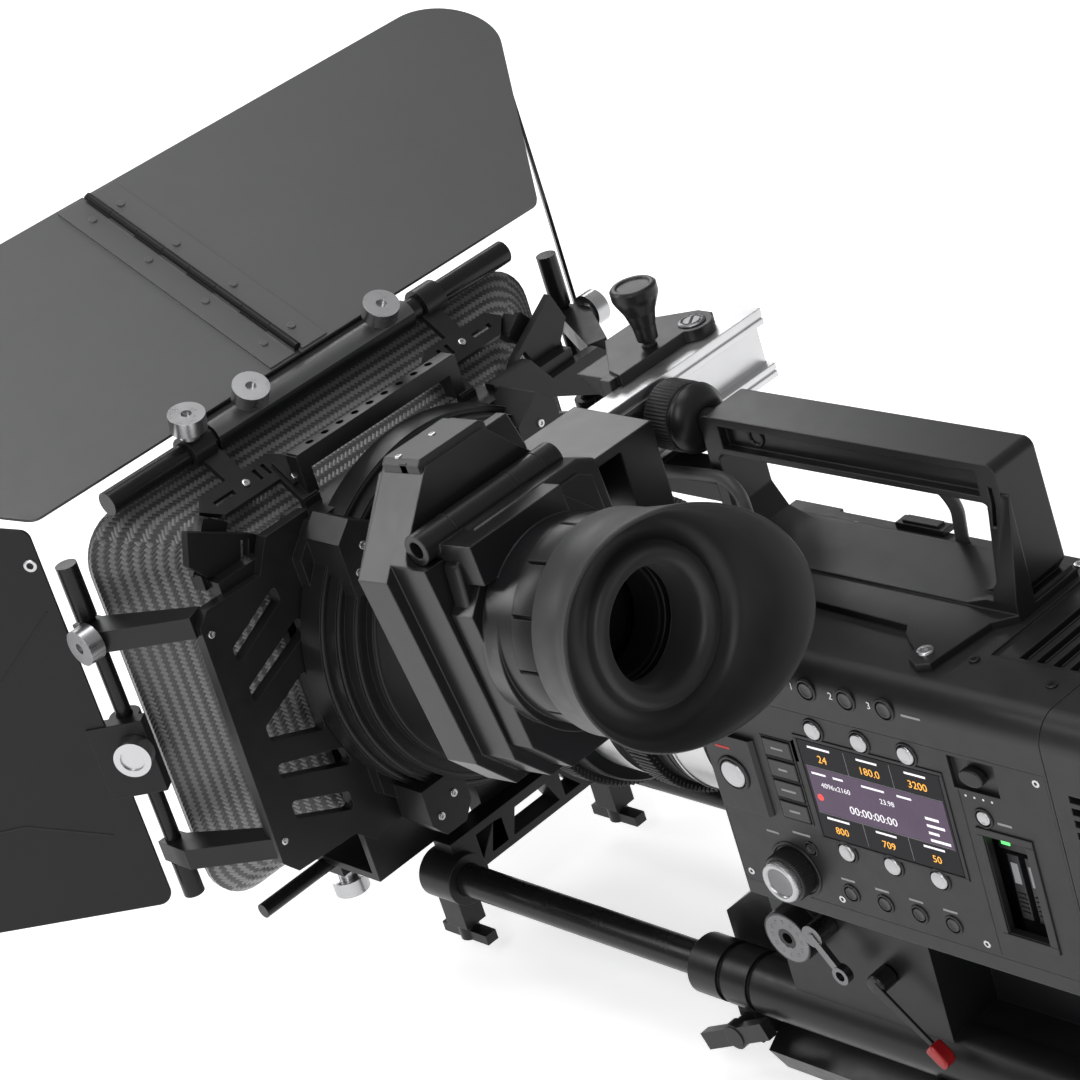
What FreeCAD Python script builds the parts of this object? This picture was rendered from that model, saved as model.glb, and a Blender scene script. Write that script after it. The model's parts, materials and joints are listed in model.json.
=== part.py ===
"""Cinema camera rig: camera on a rod base, zoom lens, matte box with flags, and side viewfinder."""
import FreeCAD, Part
import math
import os

V = FreeCAD.Vector

# Driving dimensions, millimetres. X points to the operator's left, Y to the rear and Z up.
# The rig is laid out from the lens plane: X = 0 is the lens's upright plane, Y = 0 is the camera's
# front face and Z = 0 is the height of the rod axes. SHIFT then puts the tripod hole at the origin.
SHIFT = V(0, -60, 45)

# Fits and gaps
GAP = 0.3                 # clearance between pieces that move past each other
RUN = 0.06                # radial running clearance of a shaft in its hole

# Rods and base
ROD_R = 7.5               # 15 mm rods
ROD_X = 50.0              # rods are 100 mm apart
ROD_FRONT = -243.0
ROD_REAR = 200.0
TUBE_R = 13.0             # clamp tubes round the rods
TUBE_FRONT = -68.0
TUBE_REAR = 190.0
CLAMP_Y = -42.5           # axis of the thumb lever that tightens the left tube
CLAMP_Z = -17.6
TRIPOD_Y = 60.0
TRIPOD_R = 3.97           # 3/8 inch thread, minor radius
PLATE_BOTTOM = -45.0
PLATE_TOP = -20.0
PLATE_FRONT = -38.0
PLATE_REAR = 175.0

# Camera
SIDE_X = 72.0             # side faces of the camera
BODY_BOTTOM = 70.0
BODY_TOP = 187.0
BODY_SEAM = 172.0         # joint between the camera and its rear module
BODY_REAR = 250.0
TOP_ROUND = 11.0          # radius of the long left top edge
PANEL_BOTTOM = 77.0
PANEL_TOP = 165.5
PANEL_INNER = 69.0        # inner face of the 3 mm control panel
WELL_X = 60.0             # depth of the space behind the panel

# Lens
LENS_Z = 118.5            # height of the optical axis over the rods
LENS_FRONT = -215.0
BARREL_R = 46.0
RING_BORE = BARREL_R + GAP
FOCUS_R = 58.0
ZOOM_R = 62.0
IRIS_R = 54.0

# Matte box
STAGE_FRONT = -250.0
STAGE_REAR = -228.0
STAGE_HALF = 72.0
COLLAR_R = 86.0           # ring that seals the stage round the lens
HOOD_FRONT = -291.0
HOOD_Z = 117.0
HOOD_REAR_HALF = (80.0, 70.0)
HOOD_FRONT_HALF = (133.0, 98.0)
FLAG_ROD_Y = -281.0
TOP_ROD_Z = 224.0
BOTTOM_ROD_Z = 12.5
TOP_ROD_R = 5.5
SMALL_ROD_R = 3.6         # side rods and bottom rod
SIDE_ROD_X = 146.5
SIDE_ROD_Y = -285.0

# Top flag: a splayed sheet in two halves, rising towards the front
FLAG_LENGTH = 146.0
FLAG_REAR_HALF = 152.0
FLAG_FRONT_HALF = 265.0
FLAG_RISE = math.radians(26.7)
FLAG_Y = -285.3
FLAG_Z = 232.2
FLAG_T = 1.6
SLEEVE_R = 6.9            # sleeve of the top flag on its rod
CLAMP_R = 7.8             # clamps of the top rod
SIDE_FLARE = 38.0         # side flags open this many degrees from straight ahead
SIDE_REAR = 7.0           # the side sheets start this far out from their rods

# Handle
HANDLE_HALF = 11.3
HANDLE_TOP = 245.0
KNOB_X = 6.0
KNOB_Z = 240.0
RAIL_TOP = 254.0
CLAMP_KNOB = (-10.0, -64.5)

# Viewfinder, laid out level and then tipped with its eyepiece up
VF_X = 118.0
EYE_Z = 220.6
VF_TIP = 6.0
VF_PIVOT = V(VF_X, -30.0, 240.0)
FLIP_Y = -19.0            # hinge tube on which the eyepiece flips up
FLIP_Z = 266.0


# ---- Shape helpers -------------------------------------------------------------------------------
def box(x0, x1, y0, y1, z0, z1):
    return Part.makeBox(x1 - x0, y1 - y0, z1 - z0, V(x0, y0, z0))


def cyl_x(radius, x0, x1, y, z):
    return Part.makeCylinder(radius, x1 - x0, V(x0, y, z), V(1, 0, 0))


def cyl_y(radius, y0, y1, x, z):
    return Part.makeCylinder(radius, y1 - y0, V(x, y0, z), V(0, 1, 0))


def cyl_z(radius, z0, z1, x, y):
    return Part.makeCylinder(radius, z1 - z0, V(x, y, z0), V(0, 0, 1))


def prism(points, direction):
    wire = Part.makePolygon(points + [points[0]])
    return Part.Face(wire).extrude(direction)


def prism_x(points, x0, x1):
    """Outline of (y, z) points carried from x0 to x1."""
    return prism([V(x0, y, z) for y, z in points], V(x1 - x0, 0, 0))


def prism_y(points, y0, y1):
    """Outline of (x, z) points carried from y0 to y1."""
    return prism([V(x, y0, z) for x, z in points], V(0, y1 - y0, 0))


def prism_z(points, z0, z1):
    """Outline of (x, y) points carried from z0 to z1."""
    return prism([V(x, y, z0) for x, y in points], V(0, 0, z1 - z0))


def ring_y(outer, inner, y0, y1, x, z):
    return cyl_y(outer, y0, y1, x, z).cut(cyl_y(inner, y0 - 1, y1 + 1, x, z))


def join(*shapes):
    fused = shapes[0].multiFuse(list(shapes[1:]))
    return fused.removeSplitter()


def cut(shape, *tools):
    return shape.cut(Part.makeCompound(list(tools)))


def mirrored(shape):
    """The same piece on the other side of the lens plane."""
    return shape.mirror(V(0, 0, 0), V(1, 0, 0))


def turned(shape, centre, axis, degrees):
    copy = shape.copy()
    copy.rotate(centre, axis, degrees)
    return copy


def edges_along(shape, axis, test):
    """Straight edges that run along one axis and whose middle passes the test."""
    found = []
    for edge in shape.Edges:
        if edge.Curve.TypeId != "Part::GeomLine":
            continue
        middle = edge.BoundBox.Center
        if abs(abs(edge.tangentAt(edge.FirstParameter).dot(axis)) - 1) < 1e-6 and test(middle):
            found.append(edge)
    return found


def bar_x(x0, x1, start, end, width):
    """Flat bar between two (y, z) points with round ends."""
    run = V(0, end[0] - start[0], end[1] - start[1])
    side = V(1, 0, 0).cross(run).normalize() * (width / 2)
    a = V(x0, start[0], start[1])
    b = V(x0, end[0], end[1])
    web = prism([a + side, b + side, b - side, a - side], V(x1 - x0, 0, 0))
    ends = [cyl_x(width / 2, x0, x1, start[0], start[1]), cyl_x(width / 2, x0, x1, end[0], end[1])]
    return join(web, *ends)


parts = {}


# ---- Base ----------------------------------------------------------------------------------------
def dovetail_plate():
    """Long bevelled plate that stays on the tripod, with the two standard threads."""
    section = [(-40, PLATE_TOP), (40, PLATE_TOP), (57, -31), (50, PLATE_BOTTOM),
               (-50, PLATE_BOTTOM), (-57, -31)]
    plate = prism_y(section, PLATE_FRONT, PLATE_REAR)
    large = cyl_z(TRIPOD_R, PLATE_BOTTOM - 1, PLATE_BOTTOM + 16, 0, TRIPOD_Y)
    small = cyl_z(2.6, PLATE_BOTTOM - 1, PLATE_BOTTOM + 12, 0, TRIPOD_Y + 30)
    return cut(plate, large, small)


def dovetail_jaw(y0, y1):
    """Jaw that hooks round one long side of the dovetail plate."""
    section = [(41, -12), (66, -12), (66, -43), (51.7, -43), (57.75, -31), (41, -19.9)]
    return prism_y(section, y0, y1)


def base_block():
    """Two rod tubes, the bridge between them, and the riser that carries the camera."""
    tubes = [cyl_y(TUBE_R, TUBE_FRONT, TUBE_REAR, side * ROD_X, 0) for side in (-1, 1)]
    bridge = box(-ROD_X, ROD_X, -31, TUBE_REAR, -12, 12)
    shoe = box(-44, 44, -30, 170, PLATE_TOP + GAP, -12)
    nose = prism_x([(-66, 0), (-66, 17), (-40, 37), (-28, 45), (-8, 58), (-5, 0)], -35, 35)
    table = box(-58, 58, -5, 160, 58, BODY_BOTTOM)
    web = box(-30, 30, -10, 150, 0, 60)
    blocks = [box(30, 58, -8, 75, 0, 60), box(-58, -30, -8, 75, 0, 60)]
    lug = box(44, 58, CLAMP_Y - 5.5, CLAMP_Y + 4, -27, -6)
    jaws = [dovetail_jaw(60, 125), mirrored(dovetail_jaw(15, 140))]
    block = join(bridge, shoe, nose, table, web, lug, *blocks, *tubes, *jaws)
    bores = [cyl_y(ROD_R + 0.1, TUBE_FRONT - 1, TUBE_REAR + 1, side * ROD_X, 0) for side in (-1, 1)]
    grooves = []
    for side in (-1, 1):
        for y in (-52, -35):
            grooves.append(ring_y(TUBE_R + 1, TUBE_R - 1.5, y, y + 3, side * ROD_X, 0))
    pin_holes = [cyl_x(3 + RUN, 49, 59, CLAMP_Y, CLAMP_Z), cyl_x(3 + RUN, 51, 59, 23, 52),
                 cyl_x(4 + RUN, 49, 59, 50, 36)]
    block = cut(block, *bores, *grooves, *pin_holes)
    discs = []
    for side in (-1, 1):
        x0, x1 = sorted((side * 58, side * 66))
        disc = cut(cyl_x(11.8, x0, x1, 6, 45), cyl_x(2.5, x0 - 1, x1 + 1, 6, 45))
        discs.append(disc)
    return join(block, *discs)


def rods():
    pair = []
    for side in (-1, 1):
        pair.append(cyl_y(ROD_R, ROD_FRONT, ROD_REAR, side * ROD_X, 0))
    return Part.makeCompound(pair)


def rosette_lever():
    """Small silver lever with a ring at its end, beside the rosette."""
    hub = cyl_x(5, 58 + GAP, 68, 23, 52)
    pin = cyl_x(3, 51.5, 60, 23, 52)
    arm = bar_x(66, 68.5, (23, 52), (34, 37), 3.6)
    ring = cyl_x(4, 65.5, 69, 34, 37)
    return cut(join(hub, pin, arm, ring), cyl_x(2.2, 65, 70, 34, 37))


def red_lever():
    """Lock lever of the sliding plate, with a rounded grip at its end."""
    hub = cyl_x(6, 58 + GAP, 69, 50, 36)
    pin = cyl_x(4, 49.5, 60, 50, 36)
    arm = bar_x(66.5, 69, (50, 36), (76, 14), 5)
    tip = bar_x(65, 71.5, (74, 15.8), (78.5, 12), 9.5)
    return join(hub, pin, arm, tip)


def wing(x0, x1, y, z, half, height, tilt):
    """Two-armed thumb lever that turns about an X axis."""
    arm = box(x0, x1, y - half, y + half, z - height / 2, z + height / 2)
    waist = cyl_x(height * 0.75, x0, x1, y, z)
    return turned(join(arm, waist), V(x0, y, z), V(1, 0, 0), tilt)


def clamp_lever():
    pin = cyl_x(3, 49.5, 60, CLAMP_Y, CLAMP_Z)
    hub = cyl_x(5, 58 + GAP, 69, CLAMP_Y, CLAMP_Z)
    return join(pin, hub, wing(63.5, 68.5, CLAMP_Y, CLAMP_Z, 22, 8, 24))


# ---- Camera --------------------------------------------------------------------------------------
def case_block(y0, y1):
    """Camera block: rounded long edge on the left, sloping shoulder on the right."""
    outline = [(-SIDE_X, BODY_BOTTOM), (SIDE_X, BODY_BOTTOM), (SIDE_X, BODY_TOP), (-24, BODY_TOP),
               (-64, 153), (-SIDE_X, 141)]
    case = prism_y(outline, y0, y1)
    top = edges_along(case, V(0, 1, 0), lambda m: m.z > BODY_TOP - 1 and m.x > 0)
    return case.makeFillet(TOP_ROUND, top)


# Round buttons: (name, y, z, radius)
LCD_ROWS = (159.3, 105.4)
LCD_COLUMNS = (62.4, 85.0, 107.4)
SMALL_COLUMNS = (58.1, 75.0, 91.7, 108.1)
ASSIGN_COLUMNS = (64.7, 83.9, 102.3)
ROUND_BUTTONS = []
for row, height in enumerate(LCD_ROWS):
    for column, along in enumerate(LCD_COLUMNS):
        ROUND_BUTTONS.append(("lcd_button_%d" % (3 * row + column + 1), along, height, 3.8))
for column, along in enumerate(SMALL_COLUMNS):
    ROUND_BUTTONS.append(("small_button_%d" % (column + 1), along, 85.4, 2.9))
ROUND_BUTTONS.append(("cancel_button", 42.6, 101.5, 2.2))
ROUND_BUTTONS.append(("slot_button", 137.5, 139.9, 3.0))
for column, along in enumerate(ASSIGN_COLUMNS):
    ROUND_BUTTONS.append(("assign_button_%d" % (column + 1), along, 177.0, 3.4))

MENU_HEIGHTS = (146.3, 136.9, 127.5, 118.1)
MENU_Y = (33.5, 47.3)
MENU_HEIGHT = 7.6
REC_Y, REC_Z, REC_R = 14.0, 130.0, 6.0
DIAL_Y, DIAL_Z, DIAL_R = 31.0, 89.0, 10.2
LCD_WINDOW = (52.2, 120.8, 110.0, 153.8)
CARD_BAY = (135.5, 154.0, 90.0, 132.0)
SWITCH_RECESS = (127.0, 148.0, 150.5, 164.0)


def camera_body():
    case = case_block(0, BODY_SEAM)
    nose = box(-48, 48, -14, 1, 72, 168)
    nose = nose.makeChamfer(10, edges_along(nose, V(0, 1, 0), lambda m: True))
    brow = box(-26, 34, -24, 1, 162, BODY_TOP)
    body = join(case, nose, brow)
    well = box(WELL_X, SIDE_X + 1, 0.9, BODY_SEAM - 0.9, PANEL_BOTTOM - 0.1, PANEL_TOP + 0.1)
    bay = box(40, SIDE_X + 1, *CARD_BAY)
    tray = box(-18, 41, 129, BODY_SEAM + 1, BODY_TOP - 1.2, BODY_TOP + 1)
    slots = [box(-14, 38, 139 + 7.4 * n, 142.6 + 7.4 * n, BODY_TOP - 7, BODY_TOP) for n in range(4)]
    holes = [cyl_x(r + GAP, 62, SIDE_X + 2, y, z) for name, y, z, r in ROUND_BUTTONS if z > PANEL_TOP]
    shaft_hole = cyl_x(3 + RUN, 50, WELL_X + 1, DIAL_Y, DIAL_Z)
    mount_hole = cyl_y(38, -15, 4, 0, LENS_Z)
    return cut(body, well, bay, shaft_hole, mount_hole, tray, *slots, *holes)


def rear_module():
    """Rear electronics block with vents and the battery plate."""
    block = case_block(BODY_SEAM + 0.4, BODY_REAR)
    plate = box(-46, 46, BODY_REAR - 1, BODY_REAR + 12, 82, 176)
    plate = plate.makeFillet(6, edges_along(plate, V(0, 1, 0), lambda m: True))
    vents = []
    for row in range(5):
        z = 137 + 5 * row
        vents.append(box(SIDE_X - 4, SIDE_X + 1, 180, 236, z, z + 3))
        vents.append(box(-SIDE_X - 1, -SIDE_X + 4, 180, 236, z - 30, z - 27))
    tray = box(-18, 41, BODY_SEAM - 1, 200, BODY_TOP - 1.2, BODY_TOP + 1)
    slots = [box(-14, 38, 176 + 7.4 * n, 179.6 + 7.4 * n, BODY_TOP - 7, BODY_TOP) for n in range(3)]
    wedge = prism_y([(-12, 100), (12, 100), (7, 160), (-7, 160)], BODY_REAR + 8, BODY_REAR + 13)
    return cut(join(block, plate), wedge, tray, *vents, *slots)


def control_panel():
    """Side panel that holds the display and every control; its front has a raised record pad."""
    panel = box(PANEL_INNER, SIDE_X, 1, BODY_SEAM - 1, PANEL_BOTTOM, PANEL_TOP)
    pad = box(SIDE_X - 1, SIDE_X + 2, 1, 28, 113, 147)
    pad = pad.makeChamfer(1.5, edges_along(pad, V(0, 0, 1), lambda m: m.x > SIDE_X + 1))
    panel = join(panel, pad)
    tools = [cyl_x(r + GAP, PANEL_INNER - 1, SIDE_X + 4, y, z)
             for name, y, z, r in ROUND_BUTTONS if z < PANEL_TOP]
    tools.append(cyl_x(REC_R + GAP, PANEL_INNER - 1, SIDE_X + 4, REC_Y, REC_Z))
    tools.append(cyl_x(3 + RUN, PANEL_INNER - 1, SIDE_X + 4, DIAL_Y, DIAL_Z))
    for z in MENU_HEIGHTS:
        half = MENU_HEIGHT / 2 + GAP
        tools.append(box(PANEL_INNER - 1, SIDE_X + 4, MENU_Y[0] - GAP, MENU_Y[1] + GAP, z - half, z + half))
    tools.append(box(SIDE_X - 1.2, SIDE_X + 1, *LCD_WINDOW))
    tools.append(box(PANEL_INNER - 1, SIDE_X + 1, *CARD_BAY))
    tools.append(box(SIDE_X - 2, SIDE_X + 1, *SWITCH_RECESS))
    return cut(panel, *tools)


def lcd_screen():
    y0, y1, z0, z1 = LCD_WINDOW
    return box(SIDE_X - 1.2, SIDE_X + 0.3, y0 + 0.2, y1 - 0.2, z0 + 0.2, z1 - 0.2)


def round_button(y, z, radius, outer):
    button = cyl_x(radius, outer - 7, outer, y, z)
    rim = [edge for edge in button.Edges if edge.BoundBox.XMin > outer - 0.01]
    return button.makeFillet(0.5, rim)


def menu_key(z):
    half = MENU_HEIGHT / 2
    return box(66, SIDE_X + 0.8, MENU_Y[0], MENU_Y[1], z - half, z + half)


def jog_dial():
    """Knurled dial on a shaft that reaches into the camera."""
    rim = cyl_x(DIAL_R, SIDE_X + GAP, 80, DIAL_Y, DIAL_Z)
    face = cyl_x(8.4, 79, 82.5, DIAL_Y, DIAL_Z)
    dish = cyl_x(5.6, 81.3, 84, DIAL_Y, DIAL_Z)
    shaft = cyl_x(3, 52, 74, DIAL_Y, DIAL_Z)
    return join(rim, face, shaft).cut(dish)


def power_switch():
    slider = box(SIDE_X - 1.7, SIDE_X + 1.6, 133, 142, 153, 161.5)
    grip = [box(SIDE_X + 0.8, SIDE_X + 2, y, y + 0.9, 152, 163) for y in (134.5, 136.9, 139.3)]
    return cut(slider, *grip)


def memory_card(y):
    return box(46, 67, y, y + 5.2, 93, 129)


# ---- Handle --------------------------------------------------------------------------------------
def handle():
    """Top handle: a slim loop on its base plate, and the clamp for the viewfinder rail."""
    outline = [(-23.5, HANDLE_TOP), (122, HANDLE_TOP), (124, 196), (117, BODY_TOP), (-18, BODY_TOP),
               (-23.5, 193)]
    loop = prism_x(outline, -HANDLE_HALF, HANDLE_HALF)
    flare = prism_y([(HANDLE_HALF - 1, 234), (20, 194), (20, BODY_TOP), (HANDLE_HALF - 1, BODY_TOP)], 115.5, 126)
    foot = box(-14, 20, -20, 124, BODY_TOP, 191)
    lip = box(17, 20, -18, 124, 190, 194)
    loop = join(loop, flare, foot, lip)
    opening = [(-18, 229), (115.5, 229), (117.5, 201), (112, 194), (102, 191), (0, 191), (-12, 195),
               (-18, 205)]
    window = prism_x(opening, -30, 30)
    corners = edges_along(window, V(1, 0, 0), lambda m: m.z > 195)
    loop = loop.cut(window.makeFillet(3, corners))
    round_edges = edges_along(loop, V(1, 0, 0), lambda m: m.z > HANDLE_TOP - 1)
    loop = loop.makeFillet(4, round_edges)
    pockets = []
    for x in (-HANDLE_HALF, HANDLE_HALF):
        pockets.append(box(x - 4, x + 4, -14, 113, 231.5, 241.5))
        pockets.append(box(x - 2, x + 2, 117.4, 119.4, 204, 236))
    plate = prism_z([(-14, -22), (30, -22), (34, 20), (37, 44), (38.8, 89.3), (44, 93), (51, 103), (57, 105),
                     (59.5, 110), (57, 115), (51.5, 115.5), (27, 119), (20, 126), (-14, 126)],
                    BODY_TOP, BODY_TOP + 3)
    screw_hole = cyl_z(2.2, 180, 220, 51.5, 108.5)
    shaft = cyl_y(5, -53 + GAP, -20, KNOB_X, KNOB_Z)
    under_arm = box(-8, 10, -66, -19, 206, 214)
    front_plate = box(-34, 18, -66, -60 - GAP, 208, 258)
    gusset = prism_x([(-86, 255), (-61, 255), (-61, 236)], -12, 12)
    top_plate = prism_z([(14, -58), (12, -66), (-8, -88), (-26, -88), (-40, -66), (-40, -58)],
                        RAIL_TOP + GAP, 259)
    lobe = cyl_z(8.5, RAIL_TOP + GAP, 259, -31, -61)
    under_lip = box(-34, -14, -66, -52, 212, 222 - GAP)
    clamp = join(front_plate, gusset, top_plate, lobe, under_lip, under_arm)
    knob_hole = cyl_z(3 + RUN, 251, 262, *CLAMP_KNOB)
    clamp = cut(clamp, knob_hole)
    return join(cut(plate, screw_hole), cut(loop, *pockets), shaft, clamp)


def handle_knob():
    """Knurled knob that turns on the shaft in front of the handle."""
    knob = ring_y(14, 5 + RUN, -46, -24 - GAP, KNOB_X, KNOB_Z)
    waist = ring_y(15, 12.2, -31, -29, KNOB_X, KNOB_Z)
    return knob.cut(waist)


def mushroom_knob():
    """Waisted thumb knob on the rail clamp's top plate."""
    x, y = CLAMP_KNOB
    profile = [(0, 259.3), (2.4, 259.3), (2.4, 261.5), (4.2, 262), (4.7, 268), (6.3, 274), (8.9, 279.5),
               (9.4, 281), (9.4, 284.5), (8.4, 285.5), (7, 285.5), (6.4, 284.8), (0, 284.8)]
    points = [V(x + r, y, z) for r, z in profile]
    face = Part.Face(Part.makePolygon(points + [points[0]]))
    turned_body = face.revolve(V(x, y, 0), V(0, 0, 1), 360)
    stem = cyl_z(3, 251.5, 260, x, y)
    return join(turned_body, stem)


# ---- Viewfinder ----------------------------------------------------------------------------------
def tipped(shape):
    return turned(shape, VF_PIVOT, V(1, 0, 0), VF_TIP)


def vf_rail():
    """Channelled rail across the front of the handle, ending in the viewfinder's dark arm."""
    rail = box(-56, 62, -60, -48, 223.5, RAIL_TOP)
    channel = box(-57, 63, -53, -47, 229.5, 247)
    grooves = [box(-57, 63, -49, -47, z, z + 0.8) for z in (226, 249.5)]
    rail = cut(rail, channel, *grooves)
    arm = box(38, 73.7, -60, -18, 222, 258)
    arm = cut(arm, box(56, 68, -47, -17, 220, 254))
    hole = cyl_x(4 + RUN, 60, 80, VF_PIVOT.y, VF_PIVOT.z)
    return join(rail, arm).cut(hole)


def vf_housing():
    """Six-sided viewfinder body with the screen cover, a tilt pin and the hinge trough."""
    x = VF_X
    section = [(x - 15, 288), (x + 15, 288), (x + 44, 256), (x + 38, 176), (x + 25, 160),
               (x - 25, 160), (x - 38, 176), (x - 43.7, 256)]
    inset = [(x - 15, 288), (x + 15, 288), (x + 39.5, 261), (x + 34, 178), (x + 22, 164),
             (x - 22, 164), (x - 34, 178), (x - 40, 259)]
    front = prism_y([(x - 12, 282), (x + 12, 282), (x + 36, 254), (x + 31, 182), (x + 21, 168),
                     (x - 21, 168), (x - 31, 182), (x - 36, 254)], -60, -49)
    body = join(prism_y(section, -50, -33), prism_y(inset, -34, -14.3))
    cover = box(x - 17, x + 17, -48, -27, 286, 291)
    cover = cover.makeChamfer(2, edges_along(cover, V(0, 1, 0), lambda m: m.z > 290))
    pin = cyl_x(4, 64, 80, VF_PIVOT.y, VF_PIVOT.z)
    boss = cyl_x(10, 74, 80, VF_PIVOT.y, VF_PIVOT.z)
    body = join(body, front, cover, boss, pin)
    trough = cyl_x(6.5, x - 60, x + 60, FLIP_Y, FLIP_Z)
    shelf = box(x - 60, x + 60, FLIP_Y - 6.5, -10, FLIP_Z, 300)
    lower = box(x - 60, x + 60, FLIP_Y, -10, FLIP_Z - 6.5, FLIP_Z + 1)
    return cut(body, trough, shelf, lower)


def eyepiece():
    """Six-sided rear part and round tube, on the hinge tube that lets it flip up."""
    x = VF_X
    section = [(x - 20, 259), (x + 18, 259), (x + 36, 240), (x + 33, 184), (x + 20, 168),
               (x - 20, 168), (x - 33, 184), (x - 38, 240)]
    root = prism_y(section, -14 + GAP, -2)
    hub = Part.makeCone(37, 39, 12, V(x, -4, EYE_Z - 3), V(0, 1, 0))
    tube = cyl_y(37.5, 0, 16, x, EYE_Z)
    sleeve = cyl_y(33, 10, 30 - GAP, x, EYE_Z)
    hinge = cyl_x(6, x - 34, x + 36, FLIP_Y, FLIP_Z)
    web = box(x - 16, x + 30, FLIP_Y, 0, FLIP_Z - 6, FLIP_Z - 0.5)
    neck = box(x - 16, x + 30, -13.4, 4, 250, FLIP_Z - 0.5)
    body = join(root, hub, tube, sleeve, hinge, web, neck)
    window = cyl_y(22, -20, 40, x, EYE_Z)
    open_end = cyl_x(3.4, x + 20, x + 40, FLIP_Y, FLIP_Z)
    return cut(body, window, open_end)


def diopter_ring():
    """Focus ring of the eyepiece, with finger slots round it."""
    ring = ring_y(38.5, 33 + RUN, 16 + GAP, 30 - GAP, VF_X, EYE_Z)
    slots = []
    for step in range(12):
        slot = box(VF_X - 1.2, VF_X + 1.2, 20, 31, EYE_Z + 37, EYE_Z + 41)
        slots.append(turned(slot, V(VF_X, 0, EYE_Z), V(0, 1, 0), 30 * step + 8))
    return cut(ring, *slots)


def eyecup():
    """Soft eyecup: a thick ring and a lip that reaches further back beside the temple."""
    x = VF_X
    base = ring_y(41, 24, 30, 44, x, EYE_Z)
    inner_ring = ring_y(30, 21, 40, 52, x, EYE_Z)
    lip = Part.makeCone(41, 45, 45, V(x, 43, EYE_Z), V(0, 1, 0))
    hollow = Part.makeCone(38, 42.4, 46, V(x, 43.9, EYE_Z), V(0, 1, 0))
    lip = lip.cut(hollow)
    shear = prism_z([(x + 60, 54), (x - 60, 89), (x - 60, 120), (x + 60, 120)], 100, 330)
    lip = lip.cut(shear)
    web = ring_y(39.5, 29, 42, 46, x, EYE_Z)
    return join(base, inner_ring, lip, web).cut(cyl_y(21, 20, 120, x, EYE_Z))


# ---- Lens ----------------------------------------------------------------------------------------
def lens_barrel():
    """Stepped barrel; the collars between the rings are silver, the front carries the glass."""
    core = cyl_y(BARREL_R, LENS_FRONT + 10, -30, 0, LENS_Z)
    flange = cyl_y(37.5, -34, 3, 0, LENS_Z)
    throat = cyl_y(42, -34, -16, 0, LENS_Z)
    collars = [cyl_y(53, -150, -134, 0, LENS_Z), cyl_y(52, -104, -86, 0, LENS_Z),
               cyl_y(50, -52, -30, 0, LENS_Z)]
    front = cyl_y(55, LENS_FRONT, -178, 0, LENS_Z)
    barrel = join(core, flange, throat, front, *collars)
    mouth = Part.makeCone(47, 38, 14, V(0, LENS_FRONT, LENS_Z), V(0, 1, 0))
    rear = cyl_y(20, -10, 4, 0, LENS_Z)
    return cut(barrel, mouth, rear)


def lens_ring(radius, y0, y1):
    """Ring that turns on the barrel, with a raised gear band in its middle."""
    middle = (y0 + y1) / 2
    band = ring_y(radius, RING_BORE, middle - 6, middle + 6, 0, LENS_Z)
    sleeve = ring_y(radius - 4, RING_BORE, y0 + GAP, y1 - GAP, 0, LENS_Z)
    return join(band, sleeve)


# ---- Matte box -----------------------------------------------------------------------------------
def front_bracket():
    """Bracket that clamps the rod ends and carries the matte box on a short riser."""
    clamps = [cyl_y(12, -241, -220, side * ROD_X, 0) for side in (-1, 1)]
    bar = box(-ROD_X, ROD_X, -238, -226, -4, 17)
    lugs = [box(side * ROD_X - 6, side * ROD_X + 6, -240, -226, -26, -6) for side in (-1, 1)]
    riser = box(-20, 20, -246, -236, 8, LENS_Z - STAGE_HALF)
    bracket = join(bar, riser, *clamps, *lugs)
    bores = [cyl_y(ROD_R + RUN, -242, -219, side * ROD_X, 0) for side in (-1, 1)]
    windows = []
    for side in (-1, 1):
        windows.append(prism_y([(side * 35, 0), (side * 24, 13), (side * 35, 13)], -239, -225))
        windows.append(prism_y([(side * 19, 0), (side * 29, 0), (side * 19, 12)], -239, -225))
    windows.append(prism_y([(-15, 0), (15, 0), (10, 12), (-10, 12)], -239, -225))
    holes = [cyl_z(3 + RUN, -27, -12, side * ROD_X, -233) for side in (-1, 1)]
    return cut(bracket, *bores, *windows, *holes)


def bracket_lever(side):
    """Small wing screw under one rod clamp."""
    x = side * ROD_X
    hub = cyl_z(5, -34, -26 - GAP, x, -233)
    pin = cyl_z(3, -30, -13, x, -233)
    wings = box(x - 3.2, x + 3.2, -248, -218, -34, -29)
    return join(hub, pin, wings)


def stage_plate():
    """Filter stage: square frame with a round opening, and the stepped ring round the lens."""
    frame = box(-STAGE_HALF, STAGE_HALF, STAGE_FRONT, STAGE_REAR, LENS_Z - STAGE_HALF, LENS_Z + STAGE_HALF)
    frame = frame.makeChamfer(12, edges_along(frame, V(0, 1, 0), lambda m: True))
    rings = []
    for radius, rear in ((COLLAR_R, -220), (COLLAR_R - 3, -213), (COLLAR_R - 8, -207), (COLLAR_R - 15, -203)):
        rings.append(cyl_y(radius, -233, rear, 0, LENS_Z))
    blocks = []
    for side in (-1, 1):
        top = [(42, 166), (50, 158), (66, 160), (66, 186), (57, 194), (42, 184)]
        low = [(42, 42), (48, 34), (60, 34), (66, 42), (66, 60), (42, 60)]
        for outline, rear in ((top, -206), (low, -209)):
            blocks.append(prism_y([(side * x, z) for x, z in outline], STAGE_REAR - 2, rear))
    stage = join(frame, *rings, *blocks)
    bore = cyl_y(57, STAGE_FRONT - 1, -200, 0, LENS_Z)
    return stage.cut(bore)


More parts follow.
